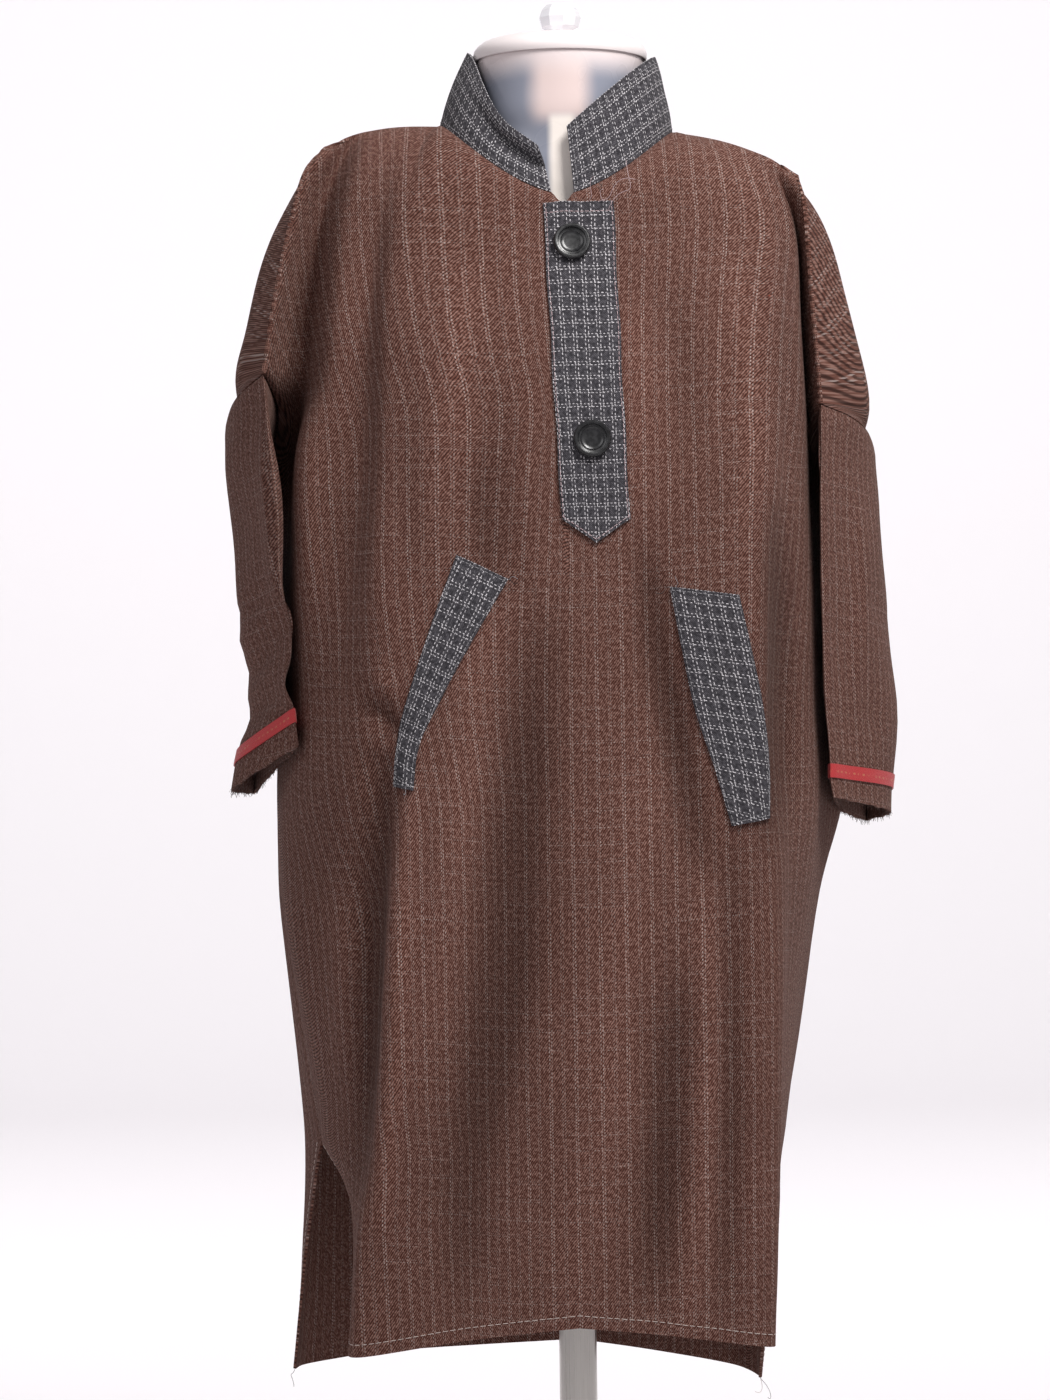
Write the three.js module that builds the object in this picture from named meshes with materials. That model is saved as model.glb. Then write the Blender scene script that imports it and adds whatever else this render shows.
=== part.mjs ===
// A child's pheran, the loose wool tunic of Kashmir, filled out on a limbless dress form on a pole.
// Millimetres, +Z up. The front faces -Y, so +X is the wearer's left. The origin is the centre of the
// stand's underside. Every piece of cloth is a wall through rows of points, one row for each height.
import * as THREE from "three";

// ---------------------------------------------------------------- driving sizes

const tweedWall = 1.8; // wool tweed of the front, back and sleeves
const checkWall = 1.6; // checked wool of the collar, placket and pocket welts
const tapeWall = 0.8; // woven tape round the cuffs
const seamGap = 0.3; // between two pieces that are sewn together
const seamInset = 0.26; // how far a piece stops short of a smooth seam, and further at a sharp crease
const cornerInset = 2; // the same at the shoulder point and under the arm, where creases meet
const mitreLimit = 3.4; // most that a wall is stretched at a sharp crease

const neckline = { frontY: -70, frontZ: 1062, backY: 60, backZ: 1122, sideY: 2, rise: 1.6, openAngle: 5.5 };
const shoulderCrown = 5; // height of the shoulder seam over the straight line from neck to shoulder point
const yokeSteps = [0, 0.2, 0.42, 0.68]; // rows from the shoulder seam round to the chest

const placket = { top: [9.6, 1056], bottom: [18, 848], width: 45, point: 16, lift: 0.45, steps: [4, 18] };
const buttons = { radius: 12, thick: 4.6, lift: 0.7, at: { upper: [5.2, 1029.5], lower: [15.7, 899.3] } };
const tapeRows = [-3, -2]; // the sleeve's rows that the cuff tape runs between, counted from the cuff

const neck = { radius: 55.5, topZ: 1160 };
const pole = { radius: 12.5, bore: 12.9, topZ: 1120, footZ: 8.3 };
const base = { radius: 150, plate: 8, bossRadius: 24, bossTop: 34, chamfer: 3 };

// ---------------------------------------------------------------- tables

// Rows of numbers under named columns.
function table(columns, rows) {
  return rows.map((row) => Object.fromEntries(columns.map((name, i) => [name, row[i]])));
}

// Half sections of the front, from the centre out. Each x is a distance from the centre line.
// The cloth runs flat to the edge fold, turns back into a trough, comes out in a bulge and goes back to a
// valley behind the sleeve. sag lowers the edge fold in that row, and the other columns in their share.
const frontColumns = ["z", "midY", "chestY", "edgeX", "edgeY", "troughX", "troughY", "bulgeX", "bulgeY",
  "valleyX", "valleyY", "sag"];
const frontLeft = table(frontColumns, [
  [1040, -74, -72, 138, -58, 147, -48, 153, -38, 156, -22, 0],
  [990, -88, -85, 134, -78, 143, -66, 152, -49, 156.5, -20, 0],
  [925, -100, -97, 130, -90, 142, -75, 155, -52, 159, -14, 0],
  [880, -106, -103, 127, -98, 141, -78, 156, -51, 164, 20, 0],
  [795, -112, -109, 126, -105, 142, -80, 158, -52, 165, -14, 0],
  [730, -116, -113, 126, -108, 142, -83, 158, -54, 166, -16, 0],
  [668, -119, -117, 127, -111, 142, -86, 159, -55, 168, -16, 0],
  [604, -121, -120, 128, -112, 140, -87, 152, -58, 160, -24, 0],
  [540, -122, -121, 128, -113, 136, -86, 143, -58, 149, -26, 0],
  [476, -123, -122, 127, -113, 132, -88, 137, -62, 140, -34, 0],
  [443, -123, -122, 126, -112, 130, -89, 133, -64, 135, -38, 0],
  [400, -124, -122, 125, -112, 127, -92, 127, -72, 122, -54, -4],
  [335, -124, -122, 123, -110, 122, -94, 116, -82, 104, -75, -16],
]);
const frontRight = table(frontColumns, [
  [1040, -74, -72, 107, -66, 122, -52, 145, -44, 165, -14, 0],
  [990, -88, -86, 112, -80, 127, -62, 150, -56, 172, -10, 0],
  [950, -96, -94, 113, -87, 129, -67, 155, -58, 176, -12, 0],
  [895, -104, -102, 115, -96, 133, -73, 171, -54, 182, 30, 0],
  [795, -112, -110, 121, -104, 142, -79, 174, -52, 185, -14, 0],
  [730, -116, -114, 118, -108, 150, -80, 174, -48, 185, -12, 0],
  [668, -119, -117, 110, -112, 150, -84, 179, -40, 190, -10, 0],
  [604, -121, -119, 115, -113, 135, -90, 165, -58, 186, -25, 0],
  [540, -122, -120, 121, -113, 136, -92, 158, -62, 176, -32, 0],
  [476, -123, -121, 127, -113, 139, -94, 153, -68, 165, -42, 0],
  [443, -123, -121, 130, -112, 140, -95, 151, -72, 161, -46, 0],
  [400, -124, -121, 137, -112, 142, -97, 145, -78, 143, -60, -4],
  [335, -124, -121, 144, -111, 147, -98, 144, -84, 134, -74, -19],
]);
const frontSag = { mid: 0, chest: 0.4, edge: 1, trough: 0.95, bulge: 0.8, valley: 0.55, rim: 0.4 };

// Half sections of the back, at the same heights but for the hem, which hangs lower than the front's.
const backColumns = ["z", "midY", "bladeY", "foldX", "foldY", "valleyX", "valleyY", "outerX", "outerY",
  "sag"];
const backLeft = table(backColumns, [
  [1040, 86, 84, 118, 74, 146, 52, 179, 4, 0],
  [990, 99, 97, 124, 88, 154, 60, 189, 6, 0],
  [925, 105, 103, 128, 96, 160, 68, 202, 12, 0],
  [880, 108, 106, 129, 102, 160, 92, 178, 88, 0],
  [795, 110, 109, 128, 104, 158, 84, 178, 72, 0],
  [730, 112, 110, 128, 105, 157, 82, 180, 64, 0],
  [668, 112, 111, 128, 106, 156, 82, 182, 54, 0],
  [604, 112, 111, 127, 106, 150, 80, 165, 46, 0],
  [540, 112, 111, 125, 106, 145, 78, 156, 42, 0],
  [476, 112, 111, 124, 106, 138, 78, 146, 36, 0],
  [443, 111, 110, 122, 106, 134, 78, 139, 34, 0],
  [400, 110, 109, 121, 106, 132, 80, 137, 48, -6],
  [290, 108, 107, 112, 106, 122, 98, 128, 88, -24],
]);
const backRight = table(backColumns, [
  [1040, 86, 84, 118, 74, 148, 52, 196, 8, 0],
  [990, 99, 97, 124, 88, 158, 60, 208, 10, 0],
  [950, 105, 103, 128, 94, 165, 64, 218, 10, 0],
  [895, 108, 106, 130, 100, 170, 90, 195, 92, 0],
  [795, 110, 109, 128, 104, 165, 86, 190, 82, 0],
  [730, 112, 110, 126, 105, 160, 84, 191, 72, 0],
  [668, 112, 111, 126, 106, 160, 84, 194, 60, 0],
  [604, 112, 111, 128, 106, 160, 84, 194, 48, 0],
  [540, 112, 111, 130, 106, 160, 84, 188, 44, 0],
  [476, 112, 111, 132, 106, 160, 84, 184, 38, 0],
  [443, 111, 110, 133, 106, 160, 82, 182, 32, 0],
  [400, 110, 109, 135, 105, 162, 80, 182, 40, -2],
  [290, 108, 107, 140, 104, 168, 86, 188, 68, -8],
]);
const backSag = { mid: 0, blade: 0.35, fold: 0.8, valley: 0.9, outer: 1, rim: 1 };

// Rows of mesh between one half section and the next, from the chest to the hem.
const sectionSteps = [2, 2, 5, 3, 2, 2, 2, 1, 1, 1, 1, 2];
const slitSection = 10; // the side seam ends at this half section, and the slit begins

// Columns of mesh between the named places of a half section, from the centre out.
const frontSteps = [4, 4, 3, 2, 2, 3];
const backSteps = [3, 3, 3, 3, 4];
const shoulderSteps = 10; // columns from the neck point to the shoulder point, on the front and the back

// Lines that two pieces share. Each x is a distance from the centre line.
const line = (rows) => table(["x", "y", "z"], rows);
const leftSide = {
  sign: 1,
  neckPoint: { x: 73.5, z: 1110.5 },
  front: frontLeft,
  back: backLeft,
  // shoulder seam from the shoulder point down the sleeve's forward ridge to the armhole
  ridge: line([[159, -20, 1079], [160, -40, 1040], [162, -50, 990], [166, -58, 925]]),
  armholeFront: line([[166, -58, 925], [166, -34, 917], [168, -8, 908], [172, 18, 899], [177, 44, 890],
    [184, 70, 880]]),
  armholeBack: line([[166, -58, 925], [189, -28, 918], [203, 5, 909], [208, 38, 899], [200, 64, 891],
    [184, 70, 880]]),
  sideSeam: line([[184, 70, 880], [183, 52, 795], [184, 44, 730], [185, 34, 668], [166, 14, 604],
    [155, 8, 540], [143, 0, 476], [136, -6, 443]]),
  frontSlit: line([[136, -6, 443], [112, -42, 400], [90, -70, 335]]),
  backSlit: line([[136, -6, 443], [136, 14, 400], [127, 80, 290]]),
};
const rightSide = {
  sign: -1,
  neckPoint: { x: 80, z: 1117 },
  front: frontRight,
  back: backRight,
  ridge: line([[160, -20, 1102], [181, -44, 1040], [191, -52, 990], [197, -57, 950]]),
  armholeFront: line([[197, -57, 950], [194, -32, 942], [192, -6, 933], [193, 20, 923], [197, 46, 911],
    [206, 74, 895]]),
  armholeBack: line([[197, -57, 950], [213, -26, 941], [224, 6, 931], [228, 36, 920], [222, 62, 909],
    [206, 74, 895]]),
  sideSeam: line([[206, 74, 895], [196, 55, 795], [196, 45, 730], [197, 30, 668], [194, 12, 604],
    [184, 0, 540], [173, -12, 476], [168, -20, 443]]),
  frontSlit: line([[168, -20, 443], [138, -44, 400], [118, -66, 335]]),
  backSlit: line([[168, -20, 443], [177, 2, 400], [193, 50, 290]]),
};

// Rings of the sleeves below the armhole: the forward ridge, the outer side, the back and the inner side.
const sleeveColumns = ["frontX", "frontY", "frontZ", "outerX", "outerY", "outerZ", "backX", "backY", "backZ",
  "innerX", "innerY", "innerZ"];
const sleeveRings = {
  left: table(sleeveColumns, [
    [165, -60, 868, 209, 14, 858, 202, 86, 848, 178, 14, 858],
    [165, -60, 800, 215, 16, 795, 206, 90, 790, 180, 16, 795],
    [166, -60, 735, 219, 16, 730, 208, 88, 725, 181, 16, 730],
    [169, -59, 690, 216, 14, 681, 206, 82, 672, 183, 14, 681],
    [169, -59, 681, 215, 14, 672, 205, 81, 663, 183, 14, 672],
    [171, -58, 668, 214, 14, 656, 204, 80, 648, 184, 14, 656],
  ]),
  right: table(sleeveColumns, [
    [194, -60, 905, 227, 12, 888, 219, 82, 868, 207, 12, 888],
    [190, -60, 855, 223, 12, 847, 216, 84, 840, 203, 14, 847],
    [188, -58, 811, 221, 14, 808, 215, 84, 805, 202, 16, 808],
    [181, -56, 788, 218, 14, 784, 213, 82, 780, 200, 16, 784],
    [182, -56, 765, 214, 14, 756, 210, 80, 748, 199, 16, 756],
    [186, -56, 748, 213, 16, 732, 209, 78, 722, 200, 16, 734],
    [180, -57, 731, 220, 10, 703, 213, 74, 697, 200, 14, 713],
    [179, -57, 722, 222, 8, 694, 214, 73, 688, 200, 14, 704],
    [177, -58, 706, 225, 6, 678, 216, 72, 672, 199, 12, 688],
  ]),
};
const sleeveSteps = { left: [3, 2, 2, 1, 1, 1], right: [2, 2, 1, 1, 1, 1, 1, 1, 1] };
const sleeveHalfRing = 10; // columns of mesh from the ridge to the underarm, on each side

// Top edge of the stand collar. Each angle is measured round the neck from the front.
const collarColumns = ["angle", "x", "y", "z"];
const collarTop = {
  left: table(collarColumns, [
    [5.5, 3, -60, 1107], [30, 24, -57, 1126], [55, 46, -40, 1146], [78, 59, -16, 1158],
    [90, 62, 2, 1161], [135, 49, 48, 1164], [180, 0, 66, 1166],
  ]),
  right: table(collarColumns, [
    [5.5, -15, -58, 1094], [30, -34, -51, 1112], [55, -50, -35, 1140], [78, -58, -14, 1160],
    [90, -61, 2, 1166], [135, -49, 48, 1167], [180, 0, 66, 1166],
  ]),
};
const collarShape = { bulge: 2, rows: [1, 0.66, 0.33, 0] };

// Pocket welts: slanted strips, placed by their distance from the centre line along the cloth.
const welts = {
  left: { top: [86, 803], bottom: [118, 654], width: 46, point: 10, lift: 1.05, steps: [8, 12] },
  right: { top: [-54, 821], bottom: [-122, 684], width: 42, point: 8, lift: 0.7, steps: [8, 12] },
};

// Rings of the dress form: half the width, how far it reaches to the front and the back, and how far the
// sides are pinched in, from 1 for an ellipse.
const formColumns = ["z", "halfX", "frontY", "backY", "pinch"];
const formRings = table(formColumns, [
  [neck.topZ, neck.radius, -neck.radius, neck.radius, 1],
  [1135, 55.5, -55.5, 55.5, 1], [1119, 57, -56, 56, 1], [1110, 66, -56, 56, 1.3],
  [1102.3, 84, -56, 57, 1.65], [1095.2, 102, -56, 59, 1.75], [1086.5, 121, -57, 62, 1.7],
  [1077, 137, -58, 65, 1.55], [1064, 149, -60, 68, 1.35], [1045, 154, -66, 72, 1.15],
  [1015, 151, -73, 79, 1], [985, 140, -80, 84, 1], [930, 128, -86, 88, 1], [860, 114, -84, 82, 1],
  [790, 112, -84, 82, 1], [730, 116, -88, 87, 1], [680, 119, -90, 90, 1], [668, 116, -87, 87, 1],
]);
const formSides = 28;

const materials = {
  tweed: new THREE.MeshStandardMaterial({ color: 0x5c4039, roughness: 0.95, metalness: 0 }),
  check: new THREE.MeshStandardMaterial({ color: 0x55545a, roughness: 0.95, metalness: 0 }),
  tape: new THREE.MeshStandardMaterial({ color: 0xb3303a, roughness: 0.6, metalness: 0 }),
  button: new THREE.MeshStandardMaterial({ color: 0x101012, roughness: 0.25, metalness: 0 }),
  form: new THREE.MeshStandardMaterial({ color: 0xb9bcc8, roughness: 0.4, metalness: 0 }),
  cap: new THREE.MeshStandardMaterial({ color: 0xeee6e4, roughness: 0.5, metalness: 0 }),
  knob: new THREE.MeshStandardMaterial({ color: 0xe9e6e6, roughness: 0.1, metalness: 0 }),
  steel: new THREE.MeshStandardMaterial({ color: 0xb7b2ad, roughness: 0.3, metalness: 1 }),
};

// ---------------------------------------------------------------- curves and rows

const point = (x, y, z) => new THREE.Vector3(x, y, z);
const radians = THREE.MathUtils.degToRad;
const lerp = THREE.MathUtils.lerp;

// Points along the spline through some points, in equal steps within each span.
function alongSpline(points, steps) {
  const curve = new THREE.CatmullRomCurve3(points, false, "centripetal");
  const spans = points.length - 1;
  const found = [points[0].clone()];
  steps.forEach((count, span) => {
    for (let k = 1; k <= count; k++) found.push(curve.getPoint((span + k / count) / spans));
  });
  return found;
}

const linePoints = (side, rows) => rows.map((row) => point(side.sign * row.x, row.y, row.z));

// The side edge of the front or the back from the chest down: ridge, armhole, side seam and slit.
function sideEdge(side, armhole, slit) {
  const ridge = alongSpline(linePoints(side, side.ridge), [1, ...sectionSteps.slice(0, 2)]).slice(1);
  const underarm = linePoints(side, armhole).slice(1);
  const seam = alongSpline(linePoints(side, side.sideSeam), sectionSteps.slice(3, slitSection)).slice(1);
  const open = alongSpline(linePoints(side, slit), sectionSteps.slice(slitSection)).slice(1);
  return [...ridge, ...underarm, ...seam, ...open];
}

// The neckline's point at an angle from the front, and the shoulder seam's at a part of its length.
function necklinePoint(side, angle, isBack) {
  const a = radians(angle);
  const [endY, endZ] = isBack ? [neckline.backY, neckline.backZ] : [neckline.frontY, neckline.frontZ];
  return point(
    side.sign * side.neckPoint.x * Math.sin(a),
    lerp(neckline.sideY, endY, Math.cos(a)),
    lerp(endZ, side.neckPoint.z, Math.sin(a) ** neckline.rise),
  );
}

function shoulderPoint(side, part) {
  const end = side.ridge[0];
  return point(
    side.sign * lerp(side.neckPoint.x, end.x, part),
    lerp(neckline.sideY, end.y, part),
    lerp(side.neckPoint.z, end.z, part) + shoulderCrown * Math.sin(Math.PI * part),
  );
}

// Half of a panel's top edge, from the centre to the shoulder point.
function topEdge(side, neckColumns, isBack) {
  const found = [necklinePoint(side, 0, isBack)];
  const start = isBack ? 0 : neckline.openAngle;
  const firstColumn = isBack ? 0 : 1;
  for (let k = 1; k <= neckColumns; k++) {
    const part = (k - firstColumn) / (neckColumns - firstColumn);
    found.push(necklinePoint(side, lerp(start, 90, part), isBack));
  }
  for (let k = 1; k <= shoulderSteps; k++) found.push(shoulderPoint(side, k / shoulderSteps));
  return found;
}

// Rows of one half of a panel. places lists the section's named places from the centre out, as
// [x, y, share of the sag], and edge is the half's side edge.
function halfPanel(side, sections, places, edge, columnSteps, sagOfRim, isBack) {
  const columns = places.map((place) =>
    alongSpline(
      sections.map((row) => point(side.sign * place.x(row), place.y(row), row.z + row.sag * place.sag)),
      sectionSteps,
    ),
  );
  const lastSections = sectionSteps.slice(slitSection).reduce((sum, n) => sum + n, 0);
  const rows = edge.map((rim, j) => {
    const fromSlit = Math.max(0, j - (edge.length - 1 - lastSections)) / lastSections;
    const sag = sections.at(-1).sag * sagOfRim * fromSlit ** 2;
    const ends = [...columns.map((column) => column[j]), point(rim.x, rim.y, rim.z + sag)];
    return alongSpline(ends, columnSteps);
  });
  const top = topEdge(side, columnSteps[0] + columnSteps[1], isBack);
  const yoke = yokeSteps.map((part) => top.map((from, i) => roundTheShoulder(from, rows[0][i], part)));
  return [...yoke, ...rows];
}

// A quarter of an ellipse, level where it leaves the seam and upright where it meets the chest.
function roundTheShoulder(from, to, part) {
  const turn = (part * Math.PI) / 2;
  return point(
    lerp(from.x, to.x, part),
    lerp(from.y, to.y, Math.sin(turn)),
    lerp(from.z, to.z, 1 - Math.cos(turn)),
  );
}

const frontPlaces = [
  { x: () => 0, y: (row) => row.midY, sag: frontSag.mid },
  { x: (row) => row.edgeX / 2, y: (row) => row.chestY, sag: frontSag.chest },
  { x: (row) => row.edgeX, y: (row) => row.edgeY, sag: frontSag.edge },
  { x: (row) => row.troughX, y: (row) => row.troughY, sag: frontSag.trough },
  { x: (row) => row.bulgeX, y: (row) => row.bulgeY, sag: frontSag.bulge },
  { x: (row) => row.valleyX, y: (row) => row.valleyY, sag: frontSag.valley },
];
const backPlaces = [
  { x: () => 0, y: (row) => row.midY, sag: backSag.mid },
  { x: (row) => row.foldX / 2, y: (row) => row.bladeY, sag: backSag.blade },
  { x: (row) => row.foldX, y: (row) => row.foldY, sag: backSag.fold },
  { x: (row) => row.valleyX, y: (row) => row.valleyY, sag: backSag.valley },
  { x: (row) => row.outerX, y: (row) => row.outerY, sag: backSag.outer },
];

// A panel's rows, from one side to the other, so that its face points away from the form.
function panelRows(isBack) {
  const halfBack = (side) =>
    halfPanel(side, side.back, backPlaces, sideEdge(side, side.armholeBack, side.backSlit), backSteps,
      backSag.rim, true);
  const halfFront = (side) =>
    halfPanel(side, side.front, frontPlaces, sideEdge(side, side.armholeFront, side.frontSlit),
      frontSteps, frontSag.rim, false);
  const [first, second] = isBack
    ? [halfBack(leftSide), halfBack(rightSide)]
    : [halfFront(rightSide), halfFront(leftSide)];
  return first.map((row, j) => [...row.slice(1).reverse(), ...second[j]]);
}

// A sleeve's rings, each from the ridge round the outer side to the back and home along the inner side.
function sleeveRows(side, rings, steps) {
  const between = (points) => {
    const spans = points.length - 1;
    return alongSpline(points, Array(spans).fill(sleeveHalfRing / spans));
  };
  const halved = (points) =>
    points.flatMap((p, i) => (i ? [p.clone().lerp(points[i - 1], 0.5), p] : [p]));
  const closed = (outer, inner) => [...outer.slice(0, -1), ...inner.slice(0, -1)];
  const armhole = closed(
    halved(linePoints(side, side.armholeBack)),
    halved(linePoints(side, [...side.armholeFront].reverse())),
  );
  const corner = (ring, name) => point(side.sign * ring[name + "X"], ring[name + "Y"], ring[name + "Z"]);
  const sections = rings.map((ring) => {
    const [front, outer, back, inner] = ["front", "outer", "back", "inner"].map((name) => corner(ring, name));
    return closed(between([front, outer, back]), between([back, inner, front]));
  });
  const columns = armhole.map((start, i) => alongSpline([start, ...sections.map((ring) => ring[i])], steps));
  const rows = columns[0].map((_, j) => columns.map((column) => column[j]));
  return side.sign > 0 ? rows : rows.map((row) => [row[0], ...row.slice(1).reverse()]);
}

// The collar's rows from its top edge down to the neckline, from the right front end round the back.
function collarRows(neckPoints) {
  const columns = neckPoints.map(({ side, angle, foot }) => {
    const top = side === leftSide ? collarTop.left : collarTop.right;
    const curve = top.map((row) => point(row.x, row.y, row.z));
    const spline = new THREE.CatmullRomCurve3(curve, false, "centripetal");
    const span = Math.max(0, top.findLastIndex((row, i) => i < top.length - 1 && row.angle <= angle));
    const within = (angle - top[span].angle) / (top[span + 1].angle - top[span].angle);
    const head = spline.getPoint((span + within) / (top.length - 1));
    const outward = point(foot.x, foot.y, 0).normalize();
    return collarShape.rows.map((up) =>
      foot.clone().lerp(head, up).addScaledVector(outward, collarShape.bulge * Math.sin(Math.PI * up)),
    );
  });
  return columns[0].map((_, j) => columns.map((column) => column[j]));
}

// The neckline's points, from the right front round the back to the left front, with their angles.
function necklinePoints() {
  const frontCount = frontSteps[0] + frontSteps[1];
  const backCount = backSteps[0] + backSteps[1];
  const onSide = (side) => {
    const found = [];
    for (let k = 1; k <= frontCount; k++) {
      const angle = lerp(neckline.openAngle, 90, (k - 1) / (frontCount - 1));
      found.push({ side, angle, foot: necklinePoint(side, angle, false) });
    }
    for (let k = backCount - 1; k >= 0; k--) {
      const angle = (90 * k) / backCount;
      found.push({ side, angle: 180 - angle, foot: necklinePoint(side, angle, true) });
    }
    return found;
  };
  const right = onSide(rightSide);
  return [...onSide(leftSide), ...right.reverse().slice(1)];
}

// ---------------------------------------------------------------- walls

const keyOf = (p) => [p.x, p.y, p.z].map((v) => v.toFixed(2)).join(" ");

// The quads of a sheet, as row and column numbers. A closed sheet's last column joins its first.
function quads(rows, closed) {
  const count = rows[0].length;
  const found = [];
  for (let j = 0; j + 1 < rows.length; j++)
    for (let i = 0; i + (closed ? 0 : 1) < count; i++) found.push([j, i, (i + 1) % count]);
  return found;
}

// Directions in which the sheets are thickened, the same on both pieces of a seam, so that walls that
// meet at an angle are mitred.
function thickenings(sheets) {
  const faces = new Map();
  for (const { rows, closed } of sheets)
    for (const [j, i, next] of quads(rows, closed)) {
      const corners = [rows[j][i], rows[j + 1][i], rows[j + 1][next], rows[j][next]];
      const normal = corners[2].clone().sub(corners[0]).cross(corners[3].clone().sub(corners[1]));
      for (const corner of corners) {
        const key = keyOf(corner);
        if (!faces.has(key)) faces.set(key, []);
        faces.get(key).push(normal);
      }
    }
  return (p) => {
    const around = faces.get(keyOf(p)).filter((normal) => normal.lengthSq() > 0);
    const mean = around.reduce((sum, normal) => sum.add(normal), new THREE.Vector3()).normalize();
    const slant = around.reduce((sum, normal) => sum + normal.clone().normalize().dot(mean), 0);
    return mean.multiplyScalar(Math.min(mitreLimit, around.length / Math.max(slant, 0.1)));
  };
}

// A sheet's rows drawn back from its seams, further where two walls meet in a sharp crease. seams says for
// each edge how far its points are drawn back at a smooth seam, or 0 for a free edge.
function drawnBack(rows, directions, seams = {}) {
  const lastRow = rows.length - 1;
  const lastColumn = rows[0].length - 1;
  return rows.map((row, j) =>
    row.map((p, i) => {
      const crease = directions[j][i].length() ** 1.6;
      const moved = p.clone();
      const draw = (q, inset) => moved.addScaledVector(q.clone().sub(p).normalize(), inset * crease);
      if (j === 0 && seams.top) draw(rows[1][i], seams.top(i));
      if (j === lastRow && seams.bottom) draw(rows[lastRow - 1][i], seams.bottom(i));
      if (i === 0 && seams.sides) draw(row[1], seams.sides(j));
      if (i === lastColumn && seams.sides) draw(row[lastColumn - 1], seams.sides(j));
      return moved;
    }),
  );
}

// A closed wall round a sheet: its outer face, its inner face and a strip along each free edge.
function wallGeometry(rows, directions, wall, closed, lift = 0) {
  const width = rows[0].length;
  const last = rows.length - 1;
  const places = [];
  for (const outward of [lift + wall / 2, lift - wall / 2])
    rows.forEach((row, j) =>
      row.forEach((p, i) => places.push(p.clone().addScaledVector(directions[j][i], outward))),
    );
  const outer = (j, i) => j * width + i;
  const inner = (j, i) => rows.length * width + outer(j, i);
  const index = [];
  const quad = (a, b, c, d) => index.push(a, b, c, a, c, d);
  for (const [j, i, next] of quads(rows, closed)) {
    quad(outer(j, i), outer(j + 1, i), outer(j + 1, next), outer(j, next));
    index.push(inner(j, i), inner(j + 1, next), inner(j + 1, i));
    index.push(inner(j, i), inner(j, next), inner(j + 1, next));
    if (j === 0) quad(outer(0, i), outer(0, next), inner(0, next), inner(0, i));
    if (j === last - 1) quad(outer(last, next), outer(last, i), inner(last, i), inner(last, next));
  }
  for (let j = 0; j < last && !closed; j++) {
    const end = width - 1;
    quad(outer(j + 1, 0), outer(j, 0), inner(j, 0), inner(j + 1, 0));
    quad(outer(j, end), outer(j + 1, end), inner(j + 1, end), inner(j, end));
  }
  return meshGeometry(places, index);
}

function meshGeometry(places, index) {
  const geometry = new THREE.BufferGeometry().setFromPoints(places);
  geometry.setIndex(index);
  geometry.computeVertexNormals();
  return geometry;
}

const part = new THREE.Group();

function addMesh(name, geometry, material) {
  const mesh = new THREE.Mesh(geometry, material);
  mesh.name = name;
  part.add(mesh);
  return mesh;
}

// ---------------------------------------------------------------- the garment

const frontRows = panelRows(false);
const backRows = panelRows(true);
const slitRow = yokeSteps.length + sectionSteps.slice(0, slitSection).reduce((sum, n) => sum + n, 0);
const underarmRow = yokeSteps.length + sectionSteps[0] + sectionSteps[1] + sectionSteps[2];
const sewn = () => seamInset;

// The top edge of a panel: the neckline, and the shoulder seams out to their points.
function topSeams(columnCount, neckColumns) {
  const middle = (columnCount - 1) / 2;
  return (i) => {
    const out = Math.abs(i - middle) - neckColumns;
    return lerp(seamInset, cornerInset, Math.max(0, out / shoulderSteps) ** 2);
  };
}

// The side edge of a panel: the shoulder point, the ridge, the armhole, the side seam and the free slit.
function sideSeams(j) {
  if (j > slitRow) return 0;
  const atShoulder = j < yokeSteps.length;
  const underArm = Math.abs(j - underarmRow) <= 1;
  return atShoulder || underArm ? cornerInset : seamInset;
}

const sheets = [
  { name: "front", rows: frontRows, wall: tweedWall, material: materials.tweed,
    seams: { top: topSeams(frontRows[0].length, frontSteps[0] + frontSteps[1]), sides: sideSeams } },
  { name: "back", rows: backRows, wall: tweedWall, material: materials.tweed,
    seams: { top: topSeams(backRows[0].length, backSteps[0] + backSteps[1]), sides: sideSeams } },
  { name: "sleeve_left", rows: sleeveRows(leftSide, sleeveRings.left, sleeveSteps.left), closed: true,
    wall: tweedWall, material: materials.tweed, seams: { top: sewn } },
  { name: "sleeve_right", rows: sleeveRows(rightSide, sleeveRings.right, sleeveSteps.right), closed: true,
    wall: tweedWall, material: materials.tweed, seams: { top: sewn } },
  { name: "collar", rows: collarRows(necklinePoints()), wall: checkWall, material: materials.check,
    seams: { bottom: sewn } },
];
const thicken = thickenings(sheets);
for (const sheet of sheets) {
  sheet.directions = sheet.rows.map((row) => row.map(thicken));
  const rows = drawnBack(sheet.rows, sheet.directions, sheet.seams);
  addMesh(sheet.name, wallGeometry(rows, sheet.directions, sheet.wall, sheet.closed), sheet.material);
}

// ---------------------------------------------------------------- what lies on the front

const front = sheets[0];
const centreColumn = (frontRows[0].length - 1) / 2;

// A row's place at a distance along the cloth from the centre line, with its outward direction.
function alongRow(j, distance) {
  const row = front.rows[j];
  const step = distance < 0 ? -1 : 1;
  let left = Math.abs(distance);
  let i = centreColumn;
  let length = row[i].distanceTo(row[i + step]);
  while (left > length && row[i + 2 * step]) {
    left -= length;
    i += step;
    length = row[i].distanceTo(row[i + step]);
  }
  const mix = (values) => values[i].clone().lerp(values[i + step], left / length);
  return { p: mix(row), out: mix(front.directions[j]) };
}

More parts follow.
